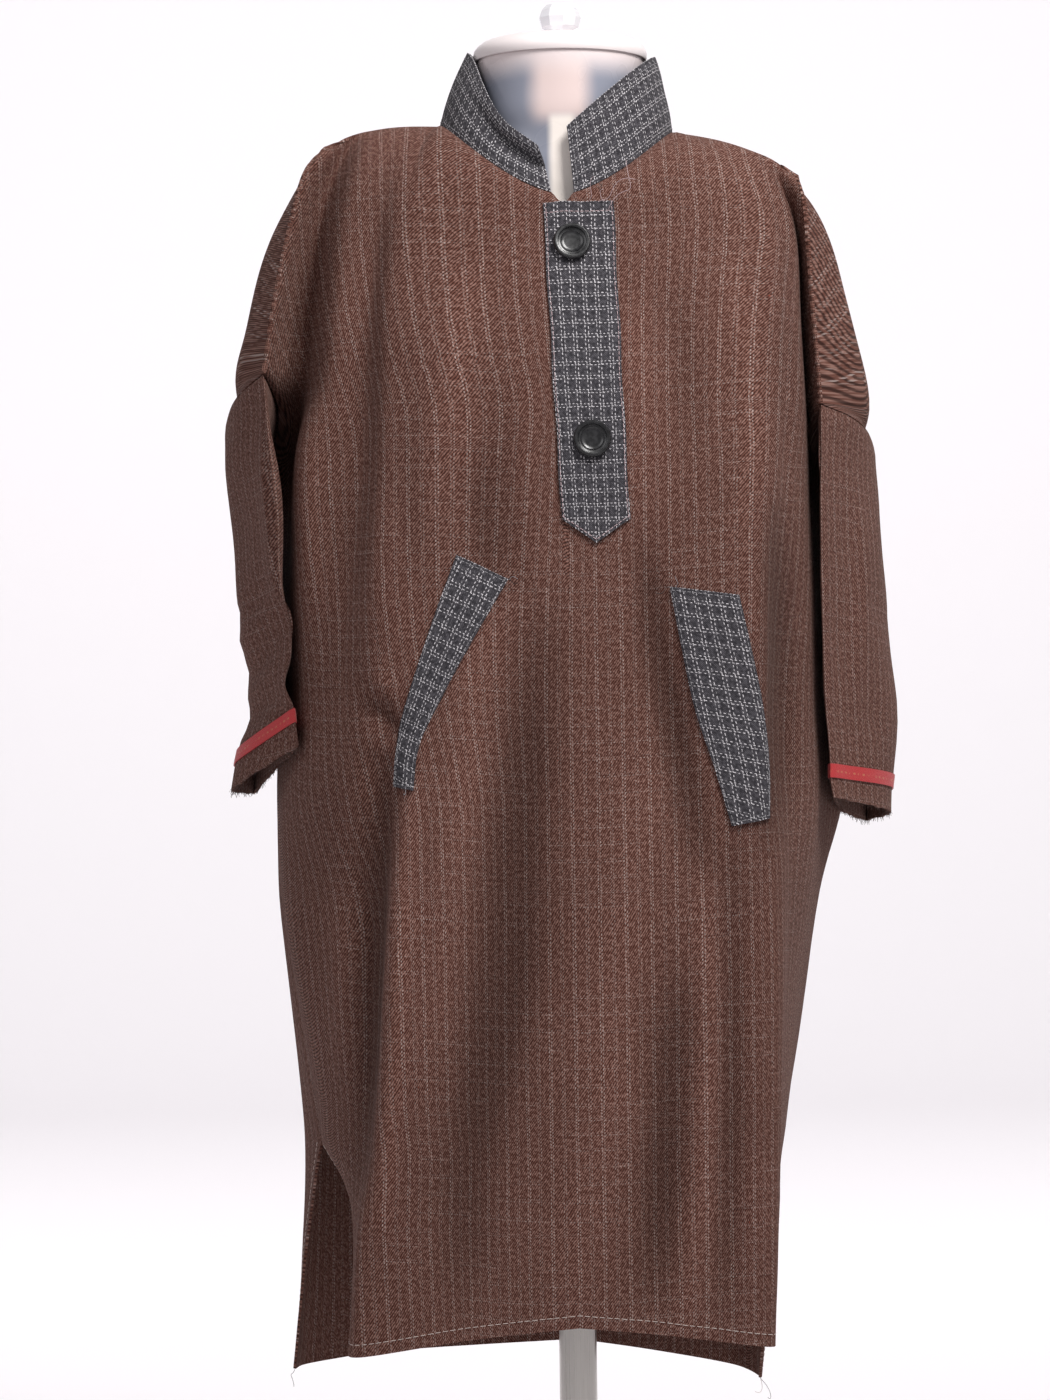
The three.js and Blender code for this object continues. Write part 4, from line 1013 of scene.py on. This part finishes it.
def makeSleeve(side, name):
    cut = sleeveCloth
    grid = sleeve(side, name)
    grid[0] = grid[0] + (grid[1] - grid[0]) * cut["tuck"]
    down = downCloth(grid, 0)
    dip = -seam["depth"] * np.exp(-((down / seam["width"]) ** 2))
    ripple = {**cut["ripple"], "shift": cut["shift"][name]}
    shaped = shapeSheet(grid, sleeveCreases[name], ripple, smooth(down, *cut["calm"]), True)
    shaped += outwards(grid, True) * dip[:, :, None]
    shaped[-1, :, 2] += ripples(grid[-1:], **cut["ragged"])[0]
    shaped[:, -1] = shaped[:, 0]
    v = cut["topHeight"] - downCloth(grid, 3 * fine)
    faced = outwards(shaped, True)
    faced[:, -1] = faced[:, 0]
    uv = np.stack([acrossCloth(grid, 0), v], axis=2)
    piece = makeWall(name + "Sleeve", shaped, uv, faced, tweedWall, weld=True)
    return finishPiece(piece, "tweed", "tweed", "sleeve_" + name), shaped, faced


sleeves = {"left": makeSleeve(leftSide, "left"), "right": makeSleeve(rightSide, "right")}

collarGrid = collar()
middle = collarGrid.shape[1] // 2
collarU = acrossCloth(collarGrid[-1:], middle) + np.zeros(collarGrid.shape[:2])
collarUv = np.stack([collarU, -downCloth(collarGrid, 0)], axis=2)
standCollar = makeWall("standCollar", collarGrid, collarUv, outwards(collarGrid), checkWall)
finishPiece(standCollar, "check", "check", "collar")
print("sleeves and collar made")

frontCount = frontGrid.shape[1]
frontFaces = [(k, k + frontCount, k + frontCount + 1, k + 1) for j in range(len(frontGrid) - 1)
              for k in range(j * frontCount, j * frontCount + frontCount - 1)]
frontPoints = [Vector(p) for p in frontGrid.reshape(-1, 3)]
frontTree = BVHTree.FromPolygons(frontPoints, frontFaces)
frontNormals = outwards(frontGrid).reshape(-1, 3)


# the place on the front at (x, z) as it is looked at, with the way out of the cloth there
def onFront(x, z):
    hit, _, face, _ = frontTree.ray_cast(Vector((x, -400, z)), Vector((0, 1, 0)))
    corners = frontFaces[face]
    weights = [1 / (0.2 + (hit - frontPoints[k]).length) for k in corners]
    out = sum(frontNormals[k] * w for k, w in zip(corners, weights))
    return np.array(hit), out / np.linalg.norm(out)


def blurRows(values, times):
    for _ in range(times):
        middleRows = (values[:-2] + 2 * values[1:-1] + values[2:]) / 4
        values = np.concatenate([values[:1], middleRows, values[-1:]])
        middleColumns = (values[:, :-2] + 2 * values[:, 1:-1] + values[:, 2:]) / 4
        values = np.concatenate([values[:, :1], middleColumns, values[:, -1:]], axis=1)
    return values


# strips between a left and a right edge, each a list of (x, z); a tip runs down in the middle
strips = {
    "placketStrip": {"left": [(-13.2, 1055), (-8.8, 950), (-4.1, 849)],
                     "right": [(32.4, 1056), (35.8, 950), (39.4, 849)],
                     "across": 14, "down": 22, "tip": 15.5, "fray": 0.4, "blur": 3, "lift": 2.3,
                     "replaces": "placket"},
    "rightWelt": {"left": [(-72, 827), (-92.4, 771), (-106.8, 725), (-111, 700), (-112, 680)],
                  "right": [(-39, 811), (-63.9, 769), (-83.6, 733), (-97, 705), (-101, 677)],
                  "across": 12, "down": 8, "tip": 0, "fray": 0, "blur": 4, "lift": 2.5,
                  "replaces": "pocket_welt_right"},
    "leftWelt": {"left": [(64.7, 805), (71.8, 765), (80.1, 724), (90.5, 690), (101, 652)],
                 "right": [(108.2, 799), (114.4, 768), (120.6, 731), (124, 693), (124.5, 656)],
                 "across": 12, "down": 8, "tip": 0, "fray": 0, "blur": 4, "lift": 2.5,
                 "replaces": "pocket_welt_left"},
}
thinEdge = {"share": 0.45, "width": 2.5}


def makeStrip(name):
    cut = strips[name]
    across = cut["across"]
    left, right = (alongSpline(cut[k], [cut["down"]] * (len(cut[k]) - 1)) for k in ("left", "right"))
    grid = np.zeros((len(left), across + 1, 3))
    normals = np.zeros_like(grid)
    for j in range(len(left)):
        for i in range(across + 1):
            fromMiddle = abs(2 * i / across - 1)
            x, z = mix(left[j], right[j], i / across)
            z -= cut["tip"] * (1 - fromMiddle) * j / (len(left) - 1)
            x += cut["fray"] * math.sin(j * 0.45) * (fromMiddle == 1)
            grid[j, i], normals[j, i] = onFront(x, z)
    normals = blurRows(normals, cut["blur"])
    normals /= np.linalg.norm(normals, axis=2, keepdims=True)
    u = acrossCloth(grid, across // 2)
    edge = np.minimum(u - u[:, :1], u[:, -1:] - u)
    uv = np.stack([u, -downCloth(grid, 0)], axis=2)
    thin = mix(thinEdge["share"], 1, smooth(edge, 0, thinEdge["width"]))
    piece = makeWall(name, grid, uv, normals, checkWall, lift=cut["lift"], thin=thin)
    finishPiece(piece, "check", "check", cut["replaces"])
    return piece, grid, normals


placket, placketGrid, placketNormals = makeStrip("placketStrip")
welts = {side: makeStrip(side + "Welt") for side in ("right", "left")}
print("placket and welts made")

cuffTape = {"wall": 0.8, "lift": 1.6}


def makeTape(name):
    grid, normals = (values[-2 * fine - 1:-fine] for values in sleeves[name][1:])
    uv = np.stack([acrossCloth(grid, 0), -downCloth(grid, 0)], axis=2)
    piece = makeWall(name + "CuffTape", grid, uv, normals, cuffTape["wall"], lift=cuffTape["lift"], weld=True)
    return finishPiece(piece, "tape", "tape", "cuff_tape_" + name)


tapes = {name: makeTape(name) for name in sleeves}


# stitches: how far along and how high the thread is, then how long each is and the space after it
sewing = {"start": 0.4, "rise": ((0, -0.15), (0.25, 0.12), (0.75, 0.12), (1, -0.15)), "uneven": 0.15,
          "strip": (2.3, 1.1), "hem": (3.4, 1.4), "collar": (2.4, 1.2), "stripLift": 2.5, "hemInset": 8}


# round cords through lists of points in millimetres, all in one mesh
def cords(name, runs, radius, finish, slot, sides=5):
    places, faces = [], []
    for run in runs:
        run = np.array(run, float)
        way = np.gradient(run, axis=0)
        way /= np.maximum(np.linalg.norm(way, axis=1, keepdims=True), 1e-9)
        start = len(places)
        across = np.cross(way[0], (0.3, 0.2, 0.9) if abs(way[0][2]) < 0.8 else (0.9, 0.1, 0.2))
        for k, point in enumerate(run):
            across = across - way[k] * across.dot(way[k])
            across /= np.linalg.norm(across)
            other = np.cross(way[k], across)
            for n in range(sides):
                turn = 2 * math.pi * n / sides
                out = across * math.cos(turn) + other * math.sin(turn)
                places.append(tuple((point + out * radius) * mm))
        for k in range(len(run) - 1):
            for n in range(sides):
                a, b = start + k * sides + n, start + k * sides + (n + 1) % sides
                faces.append((a, b, b + sides, a + sides))
        faces.append(tuple(start + n for n in reversed(range(sides))))
        faces.append(tuple(start + (len(run) - 1) * sides + n for n in range(sides)))
    mesh = bpy.data.meshes.new(name)
    mesh.from_pydata(places, [], faces)
    piece = bpy.data.objects.new(name, mesh)
    bpy.context.scene.collection.objects.link(piece)
    return finishPiece(piece, finish, slot)


# a row of stitches along some points on a cloth, each stitch dipping into the cloth at its ends
def sewn(points, normals, lift, stitch, space):
    points, normals = np.array(points, float), np.array(normals, float)
    run = np.concatenate([[0], np.cumsum(np.linalg.norm(np.diff(points, axis=0), axis=1))])
    found = []
    start = sewing["start"]
    while start + stitch < run[-1]:
        row = []
        for part, rise in sewing["rise"]:
            s = start + part * stitch
            place = np.array([np.interp(s, run, points[:, k]) for k in range(3)])
            out = np.array([np.interp(s, run, normals[:, k]) for k in range(3)])
            row.append(place + out * (lift + rise))
        found.append(row)
        start += stitch + space + dice.uniform(-sewing["uneven"], sewing["uneven"])
    return found


# where a line runs that keeps a distance in from the rim of a sheet
def insetLine(grid, normals, distance, rim):
    if rim in ("left", "right"):
        grid, normals = grid.transpose(1, 0, 2), normals.transpose(1, 0, 2)
    if rim in ("bottom", "right"):
        grid, normals = grid[::-1], normals[::-1]
    points, outs = [], []
    for i in range(grid.shape[1]):
        run = np.concatenate([[0], np.cumsum(np.linalg.norm(np.diff(grid[:, i], axis=0), axis=1))])
        points.append([np.interp(distance, run, grid[:, i, k]) for k in range(3)])
        outs.append([np.interp(distance, run, normals[:, i, k]) for k in range(3)])
    return np.array(points), np.array(outs)


for name, grid, normals in (("placket", placketGrid, placketNormals), ("leftWelt", *welts["left"][1:]),
                            ("rightWelt", *welts["right"][1:])):
    topInset, thread = (6.5, "roseThread") if name == "placket" else (2.2, "greyThread")
    lift, rows = sewing["stripLift"] + checkWall / 2, []
    for rim, inset in (("left", 1.5), ("right", 1.5), ("top", topInset), ("bottom", 2.2)):
        rows += sewn(*insetLine(grid, normals, inset, rim), lift, *sewing["strip"])
    cords(name + "Stitches", rows, 0.22, thread, "check")

for name, grid in (("front", frontGrid), ("back", backGrid)):
    outs = outwards(grid)
    rows = sewn(*insetLine(grid, outs, sewing["hemInset"], "bottom"), tweedWall / 2, *sewing["hem"])
    for rim in ("left", "right"):
        line = insetLine(grid[slitRow:], outs[slitRow:], sewing["hemInset"], rim)
        rows += sewn(*line, tweedWall / 2, *sewing["hem"])
    cords(name + "HemStitches", rows, 0.24, "paleThread", "tweed")

collarOuts = outwards(collarGrid)
rows = []
for rim, inset in (("top", 4.5), ("bottom", 2.5), ("left", 3), ("right", 3)):
    rows += sewn(*insetLine(collarGrid, collarOuts, inset, rim), checkWall / 2, *sewing["collar"])
cords("collarStitches", rows, 0.22, "greyThread", "check")

# loose ends: the sheet, the place on it, which way each goes, how long it is, how much it curls
sheets = {"placket": placketGrid, "rightWelt": welts["right"][1], "leftWelt": welts["left"][1],
          "back": backGrid, "collar": collarGrid}
looseEnds = [
    ("placket", (0, 9), (0.3, -0.5, 0.8), 16, 3.0, "roseThread"),
    ("placket", (0, 11), (0.9, -0.3, 0.5), 26, 5.0, "roseThread"),
    ("placket", (0, 12), (-0.2, -0.6, 0.7), 12, 2.5, "roseThread"),
    ("placket", (1, 13), (0.6, -0.4, 0.9), 34, 7.0, "roseThread"),
    ("rightWelt", (0, -1), (0.8, -0.3, -0.5), 9, 2.0, "darkThread"),
    ("rightWelt", (0, -1), (0.7, -0.5, 0.2), 6, 1.5, "greyThread"),
    ("leftWelt", (0, 0), (-0.8, -0.4, -0.3), 11, 2.0, "darkThread"),
    ("leftWelt", (0, 1), (0.1, -0.5, 0.9), 7, 1.5, "greyThread"),
    ("leftWelt", (-1, 3), (-0.1, -0.5, -0.9), 8, 2.0, "darkThread"),
    ("rightWelt", (-1, 6), (0.1, -0.5, -0.9), 6, 1.5, "greyThread"),
    ("back", (-1, 4), (0.5, -0.2, -0.9), 18, 4.0, "darkThread"),
    ("back", (-1, 7), (-0.1, -0.3, -0.9), 12, 3.0, "paleThread"),
    ("back", (-1, -3), (-0.3, -0.2, -0.9), 10, 2.5, "darkThread"),
    ("collar", (-1, 4), (0.6, -0.6, -0.5), 8, 2.0, "darkThread"),
    ("collar", (-1, -5), (0.5, -0.6, -0.5), 8, 2.0, "darkThread"),
]
threadSteps = 14
for k, (sheet, place, way, length, curl, finish) in enumerate(looseEnds):
    start = sheets[sheet][place] + np.array([0, -3.4, 0])
    way = np.array(way) / np.linalg.norm(way)
    turn, run = dice.uniform(0, 6), []
    for n in range(threadSteps + 1):
        part = n / threadSteps
        swing = (math.sin(turn + part * 5), -0.4 * math.cos(part * 4 + turn), math.cos(turn + part * 6))
        run.append(start + (way * length + np.array(swing) * curl) * part)
    cords("looseEnd%d" % k, [run], 0.16, finish, "tweed" if sheet == "back" else "check")

# fibres that stand out of the raw cuff edges
for name, (_, grid, normals) in sleeves.items():
    runs = []
    for i in range(grid.shape[1] - 1):
        for _ in range(3):
            root = mix(grid[-1, i], grid[-1, i + 1], dice.random()) + normals[-1, i] * dice.uniform(-0.8, 0.8)
            down = grid[-1, i] - grid[-2, i]
            way = down / np.linalg.norm(down) + np.array([dice.uniform(-0.8, 0.8) for _ in range(3)])
            tip = root + way * dice.uniform(0.8, 2.4)
            bend = np.array([dice.uniform(-0.4, 0.4), 0, 0.2])
            runs.append([root - way * 0.5, mix(root, tip, 0.5) + bend, tip])
    cords(name + "CuffFibres", runs, 0.13, "brownThread", "tweed", sides=3)
print("sewing made")

# spins a profile of (radius, height) pairs in millimetres about an upright line through the origin
def spun(name, profile, sides):
    bpy.ops.object.select_all(action="DESELECT")
    bpy.ops.mesh.primitive_plane_add(size=mm)
    piece = bpy.context.object
    piece.name = piece.data.name = name
    bpy.ops.object.mode_set(mode="EDIT")
    bpy.ops.mesh.select_all(action="SELECT")
    bpy.ops.mesh.merge(type="CENTER")
    bpy.ops.transform.translate(value=(profile[0][0] * mm, 0, profile[0][1] * mm))
    for (r0, z0), (r1, z1) in zip(profile, profile[1:]):
        step = ((r1 - r0) * mm, 0, (z1 - z0) * mm)
        bpy.ops.mesh.extrude_vertices_move(TRANSFORM_OT_translate={"value": step})
    bpy.ops.mesh.select_all(action="SELECT")
    bpy.ops.mesh.spin(steps=sides, angle=2 * math.pi, center=(0, 0, 0), axis=(0, 0, 1))
    bpy.ops.mesh.select_all(action="SELECT")
    bpy.ops.mesh.remove_doubles(threshold=1e-6)
    bpy.ops.mesh.normals_make_consistent(inside=False)
    bpy.ops.object.mode_set(mode="OBJECT")
    return piece


buttonCut = {"radius": 12.2, "thick": 4.4, "rim": 3.2, "well": 1.5, "sides": 64, "gap": 0.35,
             "at": {"upper": (5.1, 1028.3), "lower": (15.9, 899.8)}}


def makeButton(name):
    b = buttonCut
    r, t, inside, floor = b["radius"], b["thick"], b["radius"] - b["rim"], b["thick"] - b["well"]
    piece = spun(name + "Button", [
        (0, 0), (r - 3, 0), (r - 0.9, 0.5), (r - 0.2, 1.5), (r, 2.6), (r - 0.3, 3.6), (r - 1, t - 0.1),
        (r - 1.8, t), (inside + 0.4, t - 0.3), (inside, floor + 0.2), (inside - 0.5, floor),
        (inside - 1.3, floor - 0.1), (inside - 1.7, floor + 0.25), (inside - 2.1, floor - 0.1),
        (r - 7.4, floor - 0.35), (0, floor - 0.2)], b["sides"])
    place, out = (Vector(values) for values in onFront(*b["at"][name]))
    foot = place + out * (strips["placketStrip"]["lift"] + checkWall / 2 + b["gap"])
    turn = Vector((0, 0, 1)).rotation_difference(out)
    piece.data.transform(Matrix.Translation(foot * mm) @ turn.to_matrix().to_4x4())
    finishPiece(piece, "button", "button", "button_" + name, sharp=35)


for name in buttonCut["at"]:
    makeButton(name)

# the rings are z, half the width, front y, back y and how far the front and back are from an ellipse
formCut = {"inset": 2.2, "insetFrom": (1100, 1125), "sides": 72, "perSpan": 4, "wall": 2.5}
formRings = [
    (1160, 55.5, -55.5, 55.5, 1), (1135, 55.5, -55.5, 55.5, 1), (1119, 57, -56, 56, 1),
    (1110, 66, -56, 56, 1.3), (1102.3, 84, -56, 57, 1.65),
    (1095.2, 102, -56, 59, 1.75), (1086.5, 121, -57, 62, 1.7), (1077, 137, -58, 65, 1.55),
    (1064, 149, -60, 68, 1.35), (1045, 154, -66, 72, 1.15), (1015, 151, -73, 79, 1),
    (985, 140, -80, 84, 1), (930, 128, -86, 88, 1), (860, 114, -84, 82, 1), (790, 112, -84, 82, 1),
    (730, 116, -88, 87, 1), (680, 119, -90, 90, 1), (668, 116, -87, 87, 1),
]


def makeForm():
    rings = alongSpline(formRings, [formCut["perSpan"]] * (len(formRings) - 1))
    # hidden below the neck, and held clear of the creases there
    inset = formCut["inset"] * (1 - smooth(rings[:, 0], *formCut["insetFrom"]))
    heights, halfX = rings[:, 0] - inset, rings[:, 1] - inset
    middles, halfY = (rings[:, 2] + rings[:, 3]) / 2, (rings[:, 3] - rings[:, 2]) / 2 - inset
    bpy.ops.object.select_all(action="DESELECT")
    bpy.ops.mesh.primitive_circle_add(vertices=formCut["sides"], radius=mm, fill_type="NOTHING")
    shell = bpy.context.object
    shell.name = shell.data.name = "formShell"
    bpy.ops.object.mode_set(mode="EDIT")
    bpy.ops.mesh.select_all(action="SELECT")
    last = (0, 1, 0, 1)
    for ring in zip(heights, halfX, middles, halfY):
        if last[0]:
            bpy.ops.mesh.extrude_region_move()
        bpy.ops.transform.resize(value=(ring[1] / last[1], ring[3] / last[3], 1),
                                 center_override=(0, last[2] * mm, last[0] * mm))
        bpy.ops.transform.translate(value=(0, (ring[2] - last[2]) * mm, (ring[0] - last[0]) * mm))
        last = ring
    bpy.ops.mesh.select_all(action="SELECT")
    bpy.ops.mesh.normals_make_consistent(inside=False)
    bpy.ops.object.mode_set(mode="OBJECT")
    # front and back are flatter or rounder than an ellipse
    for vertex in shell.data.vertices:
        j = int(np.argmin(np.abs(heights - vertex.co.z / mm)))
        away = vertex.co.y / mm - middles[j]
        reach = min(1, abs(away) / halfY[j])
        vertex.co.y = (middles[j] + math.copysign(halfY[j] * reach ** rings[j, 4], away)) * mm
    solid = shell.modifiers.new("thickness", "SOLIDIFY")
    solid.thickness = formCut["wall"] * mm
    solid.offset = -1
    bpy.ops.object.modifier_apply(modifier="thickness")
    finishPiece(shell, "form", "form", "dress_form")


makeForm()
# what is turned: the profile as (radius, height), then the sides, finish, slot, replaced node, sharp angle
turned = {
    "poleSocket": ([(13.2, 1112), (17.5, 1112), (18.5, 1116), (18.5, 1158.5), (13.2, 1158.5), (13.2, 1112)],
                   48, "socket", "form", None, 50),
    "neckCap": ([(0, 1160.3), (55.9, 1160.3), (56.1, 1158.8), (57.2, 1158.9), (57.8, 1160.4), (57.9, 1163),
                 (57.4, 1165.4), (55.5, 1168), (52, 1170.6), (47, 1172.3), (40, 1173.2), (20, 1174),
                 (0, 1174.2)], 72, "cap", "cap", "neck_cap", 50),
    "capKnob": ([(0, 1174.6), (7, 1174.6), (6, 1178.5), (12.6, 1182), (14.2, 1188), (12.5, 1193),
                 (9, 1196.6), (0, 1197.4)], 9, "knob", "knob", "cap_knob", 15),
    "knobPlug": ([(0, 1174.3), (5, 1174.4), (5.2, 1176.5), (3, 1178.4), (0, 1178.6)],
                 20, "plug", "knob", None, 50),
}
for name, (profile, sides, finish, slot, node, sharp) in turned.items():
    finishPiece(spun(name, profile, sides), finish, slot, *([node] if node else []), sharp=sharp)
for node in ("pole", "base"):
    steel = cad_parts[node]
    steel.data.materials.clear()
    steel.data.materials.append(finishes["steel"])
print("form and stand made")

addRoom()
addLights()
addCamera()

for name, grid in (("front", frontGrid), ("back", backGrid), ("collar", collarGrid), ("placket", placketGrid),
                   ("left sleeve", sleeves["left"][1]), ("right sleeve", sleeves["right"][1]),
                   ("left welt", welts["left"][1]), ("right welt", welts["right"][1])):
    print(name, "cloth area", round(clothArea(grid), 4), "m2")
